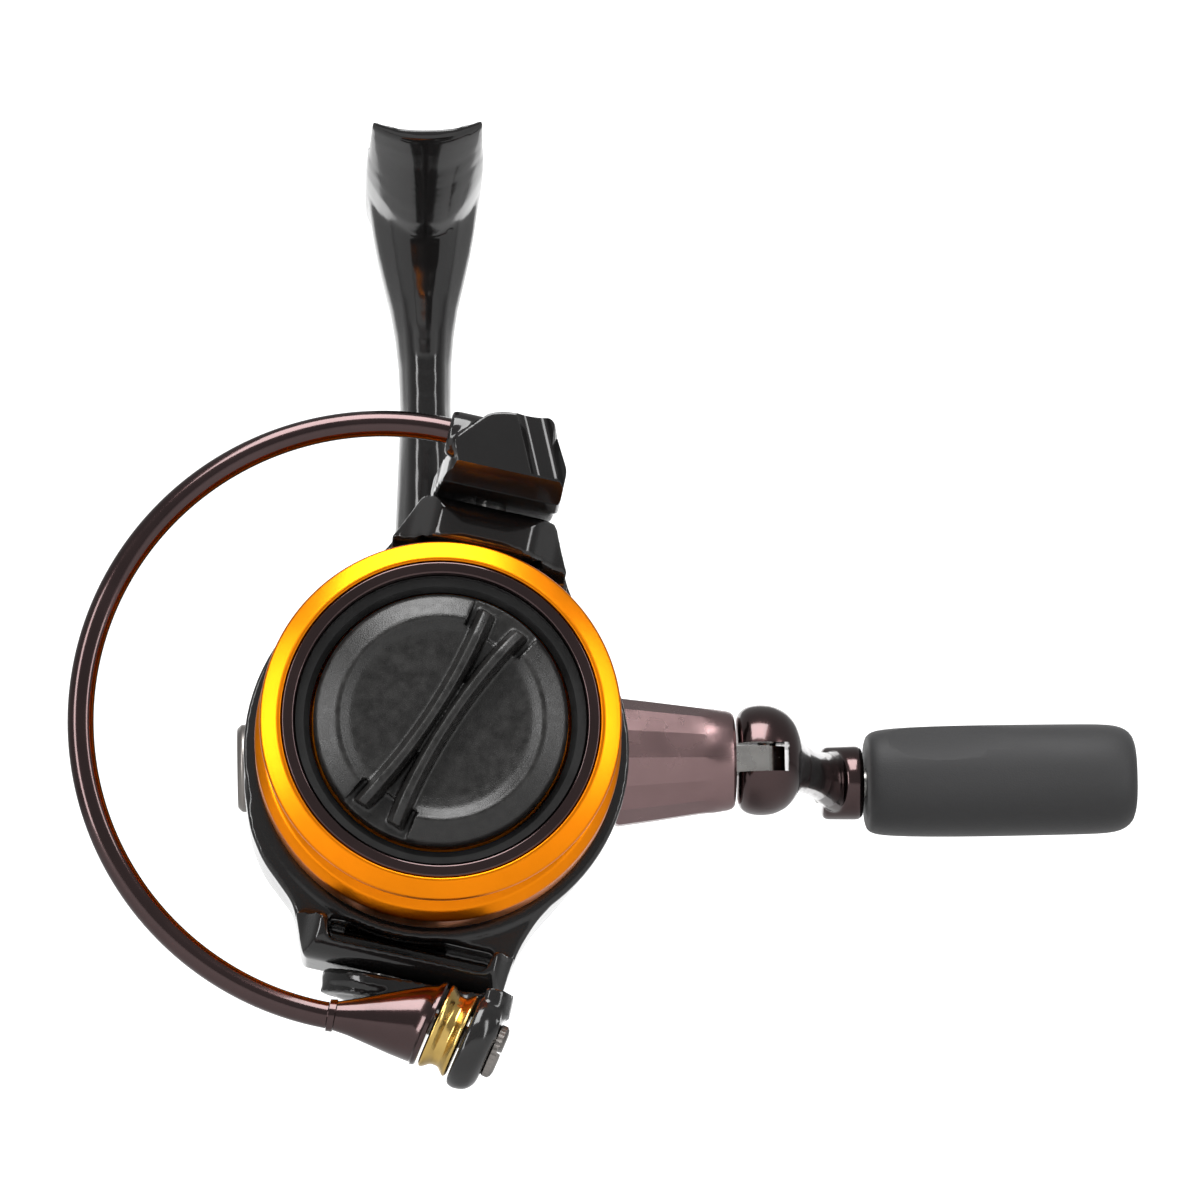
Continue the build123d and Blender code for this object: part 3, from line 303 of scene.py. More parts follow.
# raised handle boss, its fairing, the nose tube and the collar behind the rotor
boss = turned([(9, 0), (9, 15.5), (BOX_RIGHT - 0.4, 15.0), (13.4, 11.6), (15.2, 9.2), (18.0, 8.1),
               (SHANK_START - 0.4, 7.9), (SHANK_START - 0.4, 0)], ALONG_DRIVE, ease=1.2,
              closed=False)
nose = turned([(27.5, 0), (27.5, 13.0), (45.2, 13.0), (45.2, 16.4), (49.0, 16.4), (54.0, 13.6),
               (60.0, 12.0), (60.0, 0)], ALONG_SPOOL, ease=0.5, closed=False)

# the stem: a blade with a flat prow and bevelled shoulders, in rings up its height
STEM = ((18.0, 6.4, 53.0, 76.0), (24.2, 5.3, 51.5, 73.0), (31.0, 4.6, 50.2, 70.5),
        (38.0, 4.15, 49.2, 68.4), (50.0, 3.45, 47.6, 66.2), (56.0, 3.6, 46.6, 65.4),
        (60.0, 4.0, 45.2, 65.0), (63.5, 4.6, 43.4, 64.6), (66.5, 5.4, 41.2, 64.2),
        (70.0, 6.3, 38.0, 63.8), (73.0, 6.9, 34.6, 63.6), (76.4, 7.4, 31.0, 63.6))


def stem_ring(height, half, front, rear):
    """Section of the stem: a flat prow, bevels out to the shoulders, a narrower back."""
    long = rear - front
    right = [(0.55 * half, front), (half, front + 0.36 * long), (0.94 * half, rear - 0.22 * long),
             (0.55 * half, rear)]
    corners = right + [(-x, y) for x, y in reversed(right)]
    return [(x, y, height) for x, y in eased(corners, 2.2, steps=5)]


stem = skin([stem_ring(*section) for section in STEM])

# the foot: hollowed on top for the rod, with a boat-shaped ramp under its front
SADDLE_R = 19.5
SEAT = -axis_z * 1000
FOOT = ((14.0, 7.05, 0.6, 77.4), (14.6, 7.15, 0.9, 77.0), (18.0, 7.25, 1.2, 76.0),
        (22.0, 7.35, 1.5, 74.9), (26.0, 7.45, 1.8, 73.5), (30.0, 7.6, 2.1, 72.0),
        (34.0, 7.7, 2.4, 70.6), (40.0, 7.7, 2.5, 69.5), (50.0, 7.7, 2.5, 69.5),
        (58.0, 7.5, 2.3, 70.5), (63.0, 7.0, 2.0, 73.0), (67.0, 6.4, 1.6, 75.4),
        (71.2, 5.6, 1.2, 77.2), (72.0, 5.2, 0.8, 77.6))


def foot_ring(depth, half, edge, belly, steps=14):
    """Section across the foot: saddle arc on top, convex belly below."""
    def saddle(x):
        return SEAT + SADDLE_R - math.sqrt(SADDLE_R**2 - x * x)
    spread = [half * math.sin(0.5 * math.pi * (2 * k / steps - 1)) for k in range(steps + 1)]
    top = [(x, depth, saddle(x)) for x in spread]
    side = saddle(half) - edge
    under = [(x, depth, belly + (side - belly) * abs(x / half) ** 2.3) for x in reversed(spread)]
    return top + under


foot = skin([foot_ring(*section) for section in FOOT])
casting = fuse(part("body_casting", shell, boss, nose, stem, foot), grain=0.5, rounds=7)

# hollows: the gearbox, the clutch's seat, the bearing bores
hollow = skin([box_ring(BOX_LEFT - 3, -BOX_WALL), box_ring(BOX_RIGHT - 5, -BOX_WALL),
               box_ring(BOX_RIGHT - 2.2, -BOX_WALL - 3)])
carve(casting, part("hollow", hollow))
drill(casting, ALONG_SPOOL, (26, 34.5, 10.0), (34.5, 39.5, 8.0), (39.5, 62.0, 5.2), ease=0.05)
drill(casting, ALONG_DRIVE, (8, 16.5, 6.5), (16.5, 26, 3.9), ease=0.05)
fit(casting, "body", "gloss_black", black_lacquer, "body_housing", crease=40)

# ---------------------------------------------------------------- side cover
# A moulded lid in the same lacquered nylon, screwed to the body's open side. Its boss
# carries the left drive bearing and is closed by a turned cap.

BOSS_END = -24.3
lid = skin([box_ring(BOX_LEFT, 0), box_ring(BOX_LEFT - 0.25, 0)]
           + dome(BOX_LEFT - 0.4, BOX_LEFT - 2.0, 2.0))
lid_boss = turned([(BOX_LEFT - 0.5, 0), (BOX_LEFT - 0.5, 13.5), (-12.4, 13.0), (-13.6, 10.2),
                   (-15.8, 8.0), (-19.0, 7.4), (BOSS_END, 7.2), (BOSS_END, 0)], ALONG_DRIVE,
                  ease=1.0, closed=False)
cover = fuse(part("side_cover_moulding", lid, lid_boss), grain=0.4, rounds=4)
# the bearing's seat and the shaft's way out, then the notch round the body's front collar
drill(cover, ALONG_DRIVE, (-8, -15.5, 6.0), (-15.5, -25, 4.4), ease=0.05)
drill(cover, ALONG_SPOOL, (40, 50, 16.5), ease=0.05)
fit(cover, "body", "gloss_black", black_lacquer, "side_cover", crease=40)


def machined_steel():
    """Plain turned steel with fine tool marks."""
    colour = (0.56, 0.55, 0.53)
    finish, shader = blank_finish("machined_steel", colour, 1.0, 0.28)
    mottle(finish, shader, colour, size=3, shade=0.06, rough=0.27, rough_swing=0.05,
           bump=0.12, fine=0.25)
    return finish


steel = machined_steel()

# cross-head screws, each with its driver recess
COVER_SCREW_SPOTS = ((52.0, -9.0), (90.5, 11.0), (80.0, -15.4))
heads = part("cover_screw_heads", *[
    turned([(-4.0, 0), (-4.0, 0.85), (-12.5, 0.85), (-12.5, 1.75), (-13.1, 1.75), (-13.6, 1.3),
            (-13.6, 0)], Matrix.Translation((0, *spot)), ease=0.25, steps=40, closed=False)
    for spot in COVER_SCREW_SPOTS])
for spot in COVER_SCREW_SPOTS:
    for wide, tall in ((0.95, 0.2), (0.2, 0.95)):
        y, z = spot
        slot_form = plate([(y - wide, z - tall), (y + wide, z - tall), (y + wide, z + tall),
                           (y - wide, z + tall)], -14.0, -13.0)
        carve(heads, part("recess", slot_form))
fit(heads, "body", "steel", steel, "side_cover_screws")


def satin_grey_anodise():
    """Warm grey anodised aluminium with turning lines."""
    colour = (0.27, 0.25, 0.235)
    finish, shader = blank_finish("satin_grey_anodise", colour, 1.0, 0.36)
    mottle(finish, shader, colour, size=5, shade=0.08, rough=0.36, rough_swing=0.05,
           bump=0.1, fine=0.3)
    return finish


grey_anodise = satin_grey_anodise()
cap = turned([(-24.35, 0), (-24.35, 5.9), (-25.3, 5.9), (-25.9, 5.3), (-25.9, 4.2), (-25.55, 3.9),
              (-25.55, 0)], ALONG_DRIVE, ease=0.2, closed=False)
cap_skirt = turned([(-24.4, 2.8), (-24.4, 4.3), (-19.5, 4.3), (-19.5, 2.8)], ALONG_DRIVE, ease=0.1)
fit(part("left_dust_cap", cap, cap_skirt), "body", "grey_metal", grey_anodise, "dust_cap")

# ---------------------------------------------------------------- rotor
# One lacquered moulding: a cup round the nose, with two hollowed arms that carry the bail
# ahead of it. The crank on the handle spins it through the brass pinion.

ROTOR_TURN = math.radians(13.5)
SPUN = Matrix.Rotation(ROTOR_TURN, 4, "Y")
PIVOT_DEPTH = 22.0
UPRIGHT = SPUN @ Matrix.Translation((0, PIVOT_DEPTH, 0)) @ Matrix.Rotation(-math.pi / 2, 4, "Y")
ARM_SIDE = [(14.0, 25.0), (14.0, 27.8), (14.9, 29.6), (17.0, 30.6), (30.4, 30.6), (34.0, 28.6), (39.0, 25.2),
            (42.5, 21.0), (43.6, 17.0), (41.0, 12.0), (35.0, 2.0), (26.6, 2.0), (26.6, 25.0)]

# each arm's front outline, across and out from the spool's axis
SPRING_ARM = [(24.6, 1.0), (22.4, 10.0), (18.0, 17.0), (13.8, 21.6), (11.5, 25.0), (9.8, 28.4),
              (8.6, 31.0), (-8.6, 31.0), (-9.8, 28.4), (-11.5, 25.0), (-13.8, 21.6), (-18.0, 17.0),
              (-22.4, 10.0), (-24.6, 1.0)]
ROLLER_ARM = [(24.6, 1.0), (22.4, 9.4), (19.6, 14.6), (17.2, 18.6), (15.8, 22.5), (15.1, 26.7),
              (14.8, 31.0), (-10.6, 31.0), (-11.9, 27.5), (-13.5, 23.3), (-15.8, 21.2),
              (-18.6, 18.7), (-21.0, 15.2), (-23.2, 9.4), (-24.6, 1.0)]
# each arm's plan, across and back from the lip, bevelled away from its front face
SPRING_PLAN = [(-3.4, 14.0), (3.4, 14.0), (6.4, 14.8), (9.6, 21.0), (26, 30), (26, 50), (-26, 50),
               (-26, 30), (-9.6, 21.0), (-6.4, 14.8)]
ROLLER_PLAN = [(-9.6, 14.0), (13.4, 14.0), (15.0, 18.0), (26, 30), (26, 50), (-26, 50), (-26, 30),
               (-11.4, 18.0)]


def rotor_arm(side, outline, plan, hollow):
    """One arm, hollowed from inside: the hollow is (left, right, front, outer face)."""
    side_on = plate([(y, side * z) for y, z in ARM_SIDE], -30, 30, "x", ease=1.2, place=SPUN)
    arm = part("arm", side_on)
    front = plate([(x, side * z) for x, z in outline], 5, 50, "y", ease=1.5, place=SPUN)
    carve(arm, part("front", front), "INTERSECT")
    from_above = plate(plan, -35 * side, 35 * side, "z", ease=1.0, place=SPUN)
    carve(arm, part("plan", from_above), "INTERSECT")
    left, right, start, out = hollow
    pocket = [(left - 1, side * 24.0), (left, side * out), (right, side * out), (right + 1, side * 24.0)]
    carve(arm, part("pocket", plate(pocket, start, 37.0, "y", ease=0.8, place=SPUN)))
    bore = turned([(9, 0), (9, 19.6), (36, 19.2), (50, 16.6), (50, 0)], ALONG_SPOOL, ease=0.1,
                  closed=False)
    carve(arm, part("bore", bore))
    return arm


cup = part("rotor_moulding", turned(
    [(19.4, 19.8), (19.4, 21.3), (26.4, 21.3), (26.4, 24.7), (30.0, 24.7), (36.0, 23.4),
     (41.0, 20.8), (44.6, 18.4), (44.6, 16.6), (36.0, 19.0), (24.6, 19.6), (24.6, 3.5),
     (21.8, 3.5), (21.8, 19.8)], ALONG_SPOOL, ease=0.5))
join(cup, rotor_arm(1, SPRING_ARM, SPRING_PLAN, (-7.2, 7.2, 17.5, 27.3)),
     rotor_arm(-1, ROLLER_ARM, ROLLER_PLAN, (-8.0, 12.0, 12.0, 28.0)))
fuse(cup, grain=0.35, rounds=4)
for side in (1, -1):
    drill(cup, UPRIGHT, (side * 20, side * 40, 2.05), ease=0.05, sides=40)
fit(cup, "rotor", "gloss_black", black_lacquer, "rotor", crease=40)

# ---------------------------------------------------------------- spool
# Turned from aluminium bar and anodised orange with a satin sheen. A darker gloss ring is
# pressed inside its lip, and the drag knob sits in the well behind that.


def lathe_lines(finish, shader, lift, centre, spacing, strength):
    """Add concentric tool marks about a fore-and-aft axis through centre."""
    nodes, links = finish.node_tree.nodes, finish.node_tree.links
    where = nodes.new("ShaderNodeTexCoord")
    shift = nodes.new("ShaderNodeVectorMath")
    shift.operation = "SUBTRACT"
    shift.inputs[1].default_value = centre
    flat = nodes.new("ShaderNodeVectorMath")
    flat.operation = "MULTIPLY"
    flat.inputs[1].default_value = (1, 0, 1)
    length = nodes.new("ShaderNodeVectorMath")
    length.operation = "LENGTH"
    split = nodes.new("ShaderNodeSeparateXYZ")
    both = nodes.new("ShaderNodeMath")
    both.operation = "ADD"
    marks = nodes.new("ShaderNodeTexNoise")
    marks.noise_dimensions = "1D"
    marks.inputs["Scale"].default_value = 1000 / spacing
    marks.inputs["Detail"].default_value = 3
    links.new(where.outputs["Object"], shift.inputs[0])
    links.new(shift.outputs[0], flat.inputs[0])
    links.new(flat.outputs[0], length.inputs[0])
    links.new(shift.outputs[0], split.inputs[0])
    links.new(length.outputs["Value"], both.inputs[0])
    links.new(split.outputs["Y"], both.inputs[1])
    links.new(both.outputs[0], marks.inputs["W"])
    tool = nodes.new("ShaderNodeBump")
    tool.inputs["Strength"].default_value = strength
    tool.inputs["Distance"].default_value = 0.00005
    links.new(marks.outputs["Fac"], tool.inputs["Height"])
    links.new(lift.outputs["Normal"], tool.inputs["Normal"])
    links.new(tool.outputs["Normal"], shader.inputs["Normal"])


def orange_satin_anodise():
    """Orange-gold anodised aluminium, satin, with fine turning marks."""
    colour = (0.93, 0.255, 0.005)
    finish, shader = blank_finish("orange_satin_anodise", colour, 1.0, 0.34)
    shader.inputs["Anisotropic"].default_value = 0.35
    lift = mottle(finish, shader, colour, size=9, shade=0.05, rough=0.34, rough_swing=0.03,
                  bump=0.08, fine=0.12)
    lathe_lines(finish, shader, lift, (0, lip_y, axis_z), spacing=0.12, strength=0.1)
    tangent = finish.node_tree.nodes.new("ShaderNodeTangent")
    tangent.direction_type = "RADIAL"
    tangent.axis = "Y"
    finish.node_tree.links.new(tangent.outputs[0], shader.inputs["Tangent"])
    return finish


orange_anodise = orange_satin_anodise()
spool = turned(
    [(0.0, 19.85), (0.0, 20.3), (1.0, 22.35), (1.4, 22.5), (2.0, 22.45), (5.2, 18.4), (5.9, 17.6),
     (15.0, 17.6), (15.6, 18.0), (16.2, 22.0), (17.2, 23.2), (24.1, 23.2), (24.5, 22.9),
     (24.5, 22.2), (17.6, 22.2), (17.0, 21.6), (17.0, 16.4), (14.0, 16.4), (14.0, 2.55),
     (11.5, 2.55), (11.5, 4.0), (12.4, 4.0), (12.4, 11.2), (5.2, 11.2), (5.2, 16.2), (3.7, 16.2),
     (3.7, 18.5), (1.0, 18.5), (1.0, 19.8)], ALONG_SPOOL, ease=0.3, steps=192)
fit(part("spool_turning", spool), "spool", "orange_anodised", orange_anodise, "spool_body")


def gloss_mauve_anodise():
    """Dark brown-mauve anodise under a high polish."""
    colour = (0.066, 0.039, 0.039)
    finish, shader = blank_finish("gloss_mauve_anodise", colour, 1.0, 0.16)
    shader.inputs["Coat Weight"].default_value = 0.5
    shader.inputs["Coat Roughness"].default_value = 0.05
    mottle(finish, shader, colour, size=7, shade=0.12, rough=0.17, rough_swing=0.03,
           bump=0.05, fine=0.5)
    return finish


dark_mauve = gloss_mauve_anodise()
trim = turned([(0.02, 18.35), (0.0, 19.6), (0.3, 19.8), (0.9, 19.75), (0.95, 18.45), (3.5, 18.45),
               (3.5, 18.0), (0.6, 18.0)], ALONG_SPOOL, ease=0.18, steps=160)
fit(part("lip_trim_ring", trim), "spool", "mauve_anodised", dark_mauve, "spool_trim_ring")

# ---------------------------------------------------------------- drag knob
# Moulded in black with a fine spark texture. A raised rim stands round a dished face, and
# two bowed ridges cross the dish as the finger grip, with a groove between them.


def spark_textured_black():
    """Satin charcoal moulding with a fine eroded texture and pale specks."""
    colour = (0.011, 0.0105, 0.01)
    finish, shader = blank_finish("spark_textured_black", colour, 0.0, 0.33)
    mottle(finish, shader, colour, size=1.2, shade=0.35, rough=0.33, rough_swing=0.06,
           bump=0.35, fine=0.16)
    return finish


spark_black = spark_textured_black()
GRIP_LEAN = math.radians(56)
GRIPPED = Matrix.Rotation(-GRIP_LEAN, 4, "Y")


def grip_ridge(side, steps=24, reach=14.3):
    """One bowed finger ridge, higher and thinner at its crest, sloping off at its ends."""
    rings = []
    for k in range(steps + 1):
        t = 2 * k / steps - 1
        along = reach * t
        middle = side * (1.05 + 1.4 * t * t)
        half = 0.72 + 0.1 * t * t
        crest = -2.3 + 12.0 * max(0.0, abs(t) - 0.74) ** 1.5
        floor = 3.0
        section = [(-half - 0.45, floor), (-half - 0.28, crest + 1.3), (-half * 0.6, crest),
                   (half * 0.6, crest), (half + 0.28, crest + 1.3), (half + 0.45, floor)]
        rings.append([(along, y, middle + w) for w, y in section])
    return skin(rings, GRIPPED)


dish = turned([(0.3, 0), (0.28, 9.8), (0.1, 11.2), (-0.3, 12.1), (-0.6, 12.5), (-0.6, 13.0),
               (0.6, 15.4), (1.1, 15.8), (4.6, 15.8), (4.6, 14.4), (2.2, 14.0), (2.2, 0)],
              ALONG_SPOOL, ease=0.2, closed=False, steps=160)
knob = part("drag_knob_moulding", dish)
for end in (1, -1):
    gap = [(end * 11.4, -3.9), (end * 17, -4.9), (end * 17, 4.9), (end * 11.4, 3.9)]
    carve(knob, part("notch", plate(gap, -4, 1.0, "y", place=GRIPPED)))
join(knob, part("ridges", grip_ridge(1), grip_ridge(-1)))
fuse(knob, grain=0.2, rounds=2)
trim_round = turned([(-5, 15.85), (-5, 22), (6, 22), (6, 15.85)], ALONG_SPOOL, ease=0.01, steps=160)
carve(knob, part("trim_round", trim_round))
drill(knob, ALONG_SPOOL, (0.95, 6, 5.0), ease=0.01, sides=6)
fit(knob, "drag_knob", "knob_black", spark_black, "drag_knob", crease=40)

# ---------------------------------------------------------------- bail holder
# The block at the bail's spring side, moulded and lacquered like the rotor. It turns on a
# screw in the rotor's arm, and the wire's end is fixed in the socket on its left.

PIVOT_HOLE_R = 2.07
hub = turned([(31.05, 0), (31.05, 7.9), (34.2, 7.9), (34.2, 0)], UPRIGHT, ease=0.7, closed=False)
neck = plate([(-7.8, 23.0), (-7.0, 12.0), (-5.8, 4.0), (7.4, 4.0), (8.4, 12.0), (7.8, 23.0)],
             31.05, 34.6, "z", ease=2.5, place=SPUN)
head = plate([(-4.6, 31.05), (-5.4, 33.6), (-6.2, 35.2), (-3.2, 38.6), (-2.4, 39.4), (-0.6, 40.0),
              (5.5, 40.4), (8.6, 34.6), (8.6, 31.05)], 1.6, 15.0, "y", ease=0.7, place=SPUN)
lip_band = plate([(-5.6, 31.05), (-5.6, 32.2), (8.6, 32.6), (8.6, 31.05)], 1.9, 15.0, "y", ease=0.4,
                 place=SPUN)
SOCKET_R = 2.9
socket = skin([[(x, 5 + r * cy, 36.4 + r * cz) for cy, cz in circle_of(40)]
               for x, r in ((-7.0, 2.4), (-6.8, 2.75), (-6.2, SOCKET_R), (0.0, SOCKET_R))], SPUN)
holder = fuse(part("bail_holder_moulding", hub, neck, head, lip_band, socket), grain=0.25, rounds=3)
# a slanted finger facet on the handle side, and a scallop between it and the front face
facet = plate([(5.0, 46.0), (5.4, 37.0), (8.0, 31.2), (14.0, 30.6), (14.0, 46.0)], -6, 5.6, "y",
              place=SPUN @ Matrix.Rotation(math.radians(-14), 4, "Z"))
carve(holder, part("facet", facet))
under_cut = plate([(0.0, 29.0), (0.0, 32.9), (9.0, 31.15), (9.0, 29.0)], -10, 12, "x", place=SPUN)
carve(holder, part("under_cut", under_cut))
scallop = skin([[(x + 2.6 * c, 0.2 + 2.6 * s, z) for c, s in circle_of(48)]
                for x, z in ((1.6, 43.0), (6.4, 32.9))], SPUN)
carve(holder, part("scallop", scallop))
drill(holder, UPRIGHT, (28, 34.9, PIVOT_HOLE_R), sides=40)
fit(holder, "bail", "gloss_black", black_lacquer, "bail_holder", crease=30)

# ---------------------------------------------------------------- bail arm
# The roller side's arm: a domed hub on the rotor's arm, and a lever that reaches forward to
# a rounded head over the line roller's outer end.

ROLLER_TILT = math.radians(11.3)
ROLLER_SPOT = Vector((9.2, 6.0, -37.0))
ROLLER = SPUN @ Matrix.Translation(ROLLER_SPOT) @ Matrix.Rotation(ROLLER_TILT, 4, "Y")
arm_hub = turned([(-31.05, 0), (-31.05, 7.9), (-33.0, 7.9), (-34.2, 5.6), (-34.6, 0)], UPRIGHT,
                 ease=0.8, closed=False)
lever = plate([(-7.4, 24.0), (-7.8, 20.0), (-4.2, 15.4), (5.0, 13.2), (10.8, 12.0), (12.8, 9.5),
               (12.6, 2.0), (15.2, 2.2), (16.5, 6.5), (15.6, 12.5), (12.0, 18.6), (7.4, 24.6)],
              -34.1, -31.05, "z", ease=2.0, place=SPUN)
roller_head = turned([(2.15, 0), (2.15, 6.0), (3.2, 6.3), (4.8, 5.9), (5.7, 4.6), (5.9, 0)], ROLLER,
                     ease=0.7, closed=False)
bridge = skin([[(x, 4.6 + 3.4 * cy, -35.4 + 2.6 * cz) for cy, cz in circle_of(32)]
               for x in (11.8, 12.4, 14.6, 15.2)], SPUN)
arm = fuse(part("bail_arm_moulding", arm_hub, lever, roller_head, bridge), grain=0.3, rounds=4)
# the pivot screw's hole, room for the roller, and the roller screw's hole
drill(arm, UPRIGHT, (-28, -36, PIVOT_HOLE_R), sides=40)
drill(arm, ROLLER, (-3, 2.1, 6.6))
drill(arm, ROLLER, (0, 9, 1.55), sides=40)
fit(arm, "bail", "gloss_black", black_lacquer, "bail_arm", crease=35)

# ---------------------------------------------------------------- bail wire and cone
# Round wire bent to one bow, anodised with its cone. The cone guides the line off the wire
# and onto the roller, and has a thin polished lip beside it.

WIRE_R, LIP_GAP = 1.65, 2.2
BOW_R, BOW_SQUASH, BOW_CENTRE = 37.6, 0.7, Vector((-7.7, 5.0, -0.9))
BOW_START, BOW_END = math.radians(82), math.radians(272.5)


def ring_about(centre, out, radius):
    """A circle square to the wire: out is its radius in the bow's plane."""
    return [centre + out * (radius * c) + Vector((0, radius * s, 0)) for c, s in circle_of(28)]


def bow_at(share):
    """The wire's centre and outward direction, a share of the way round the bow."""
    turn = BOW_START + (BOW_END - BOW_START) * share
    out = Vector((math.cos(turn), 0, math.sin(turn)))
    return BOW_CENTRE + out * (BOW_R - BOW_SQUASH * math.sin(math.pi * share)), out


def wire_rings():
    """Circles along the bow, then along the cone to its lip."""
    rings = [ring_about(*bow_at(k / 120), WIRE_R) for k in range(121)]
    root, down = bow_at(1)
    run = Vector((math.cos(ROLLER_TILT), 0, -math.sin(ROLLER_TILT)))
    mouth = ROLLER_SPOT - run * LIP_GAP
    cone = ((0.02, 1.68), (0.03, 2.0), (0.09, 2.05), (0.1, 1.85), (0.25, 2.35), (0.40, 3.0),
            (0.55, 3.65), (0.70, 4.3), (0.84, 4.85), (0.93, 5.2), (0.95, 5.5), (0.985, 5.55),
            (1.0, 5.4), (1.0, 4.7))
    for share, radius in cone:
        out = down.lerp(Vector((run.z, 0, -run.x)), share).normalized()
        rings.append(ring_about(root.lerp(mouth, share), out, radius))
    return rings


wire = part("bail_wire_and_cone", skin(wire_rings(), SPUN))
fit(wire, "bail", "mauve_anodised", dark_mauve, "bail_wire", crease=40)

# ---------------------------------------------------------------- line roller
# A small polished brass roller, hollow-ground between two rounded flanges, which turns on
# the roller screw as the line runs over it.


def polished_brass():
    """Yellow brass with faint turning marks."""
    colour = (0.62, 0.42, 0.13)
    finish, shader = blank_finish("polished_brass", colour, 1.0, 0.18)
    mottle(finish, shader, colour, size=2.5, shade=0.1, rough=0.19, rough_swing=0.05,
           bump=0.1, fine=0.3)
    return finish


brass = polished_brass()
roller = turned([(-1.9, 1.57), (-1.9, 5.1), (-1.6, 5.45), (-1.2, 5.3), (-0.4, 4.6), (0.5, 4.55),
                 (1.3, 5.3), (1.6, 5.45), (1.9, 5.1), (1.9, 1.57)], ROLLER, ease=0.25, steps=96)
fit(part("brass_line_roller", roller), "line_roller", "brass", brass, "line_roller")

# the roller screw: a knurled grey head with a driver slot
KNURLS = 36
screw_stem = turned([(-6.0, 0), (-6.0, 1.45), (5.9, 1.45), (5.9, 0)], ROLLER, ease=0.05, steps=40,
                    closed=False)
head_rings = []
for along, grow in ((5.75, -0.2), (5.95, 0.0), (6.65, 0.0), (6.95, -0.35), (7.1, -0.9)):
    head_rings.append([(along, (3.3 + grow + 0.09 * (k % 2)) * c, (3.3 + grow + 0.09 * (k % 2)) * s)
                       for k, (c, s) in enumerate(circle_of(2 * KNURLS))])
screw = part("roller_screw_turning", screw_stem, skin(head_rings, ROLLER))
driver = plate([(-4, -0.4), (4, -0.4), (4, 0.4), (-4, 0.4)], 6.55, 8, "x", place=ROLLER)
carve(screw, part("driver_slot", driver))
fit(screw, "bail", "grey_metal", grey_anodise, "roller_screw", crease=30)

# ---------------------------------------------------------------- handle shank
# A tapered sleeve in pinkish anodised aluminium, screwed up against the body's boss. Long
# flats are milled down its sides and run out just before its end.


def satin_mauve_anodise():
    """Paler mauve anodise with a fine lengthwise grain."""
    colour = (0.26, 0.17, 0.172)
    finish, shader = blank_finish("satin_mauve_anodise", colour, 1.0, 0.26)
    mottle(finish, shader, colour, size=6, shade=0.07, rough=0.26, rough_swing=0.03,
           bump=0.1, fine=0.14)
    return finish


pale_mauve = satin_mauve_anodise()
HANDLE_TURN = Matrix.Rotation(math.radians(4), 4, "X")
HANDLE = ALONG_DRIVE @ HANDLE_TURN
FLATS = 14


def shank_ring(x, radius, flatness):
    """A ring whose flats fade out as flatness goes from 1 to 0."""
    ring = []
    for k, (c, s) in enumerate(circle_of(FLATS * 8)):
        off = (k % 8 / 8 - 0.5) * 2 * math.pi / FLATS
        flat = math.cos(math.pi / FLATS) / math.cos(off)
        reach = radius * (1 + flatness * (flat - 1))
        ring.append((x, reach * c, reach * s))
    return ring


SHANK = ((24.8, 8.3, 1), (25.0, 8.65, 1), (25.4, 8.8, 1), (30.0, 8.2, 1), (35.0, 7.5, 1),
         (36.4, 7.3, 1), (37.4, 7.18, 0.55), (38.2, 7.06, 0.1), (38.6, 7.0, 0), (40.2, 6.75, 0),
         (40.8, 6.55, 0), (41.1, 6.3, 0), (41.2, 5.9, 0), (41.2, 3.9, 0))
shank = part("faceted_shank", skin([shank_ring(*section) for section in SHANK], HANDLE))
shank_bore = turned([(24, 0), (24, 3.5), (31, 3.5), (33, 2.0), (42, 2.0), (42, 0)], HANDLE,
                    ease=0.02, closed=False)
carve(shank, part("shank_bore", shank_bore))
tongue_slot = plate([(-3.7, -1.78), (3.7, -1.78), (3.7, 1.78), (-3.7, 1.78)], 37.8, 43, "x",
                    place=HANDLE)
carve(shank, part("tongue_slot", tongue_slot))
fit(shank, "drive", "mauve_anodised", pale_mauve, "handle_shank", crease=12)

# ---------------------------------------------------------------- handle arm
# Cast and anodised dark: a ball-shaped knuckle, slotted for the rod's steel tongue, a
# waisted bar, and an eye that holds the knob's spindle.

ARM_LENGTH = 46.0
KNOB_PLACE = HANDLE @ Matrix.Translation((0, ARM_LENGTH, 0))
ball = turned([(41.5, 0), (41.5, 5.6), (41.9, 6.5), (42.8, 7.2), (44.4, 7.55), (46.4, 7.4),
               (48.2, 6.6), (49.5, 5.2), (50.3, 3.2), (50.4, 0)], HANDLE, ease=0.8, closed=False)
knuckle = part("knuckle", ball)
# behind, the ball is cut back to a round about the pin, so that it clears the shank as it folds
FOLD_X, FOLD_R = 45.75, 4.15
fold_round = [(FOLD_X - FOLD_R * math.cos(k * math.pi / 36), FOLD_R * math.sin(k * math.pi / 36))
              for k in range(24)]
relief_cut = plate([(40, 0), *fold_round, (47.8, 12), (40, 12)], -12, 12, "z", place=HANDLE)
carve(knuckle, part("relief_cut", relief_cut))
BAR = ((47.6, 1.0, 2.4, 5.2), (48.6, 3.6, 2.3, 4.7), (49.9, 8.0, 1.9, 4.0), (51.3, 14.0, 1.75, 3.5),
       (53.2, 22.0, 1.8, 3.3), (55.2, 31.0, 1.95, 3.4), (57.2, 39.0, 2.2, 3.9),
       (58.6, 43.0, 2.6, 4.4), (59.4, ARM_LENGTH, 2.9, 4.7))
bar_rings = [[(x + half * c, depth, tall * s) for c, s in circle_of(40)]
             for x, depth, half, tall in BAR]
eye = turned([(56.9, 0), (56.9, 4.7), (57.5, 5.2), (62.2, 5.3), (62.8, 4.8), (62.8, 0)],
             KNOB_PLACE, ease=0.6, closed=False)
handle_arm = part("handle_arm_casting", skin(bar_rings, HANDLE), eye)
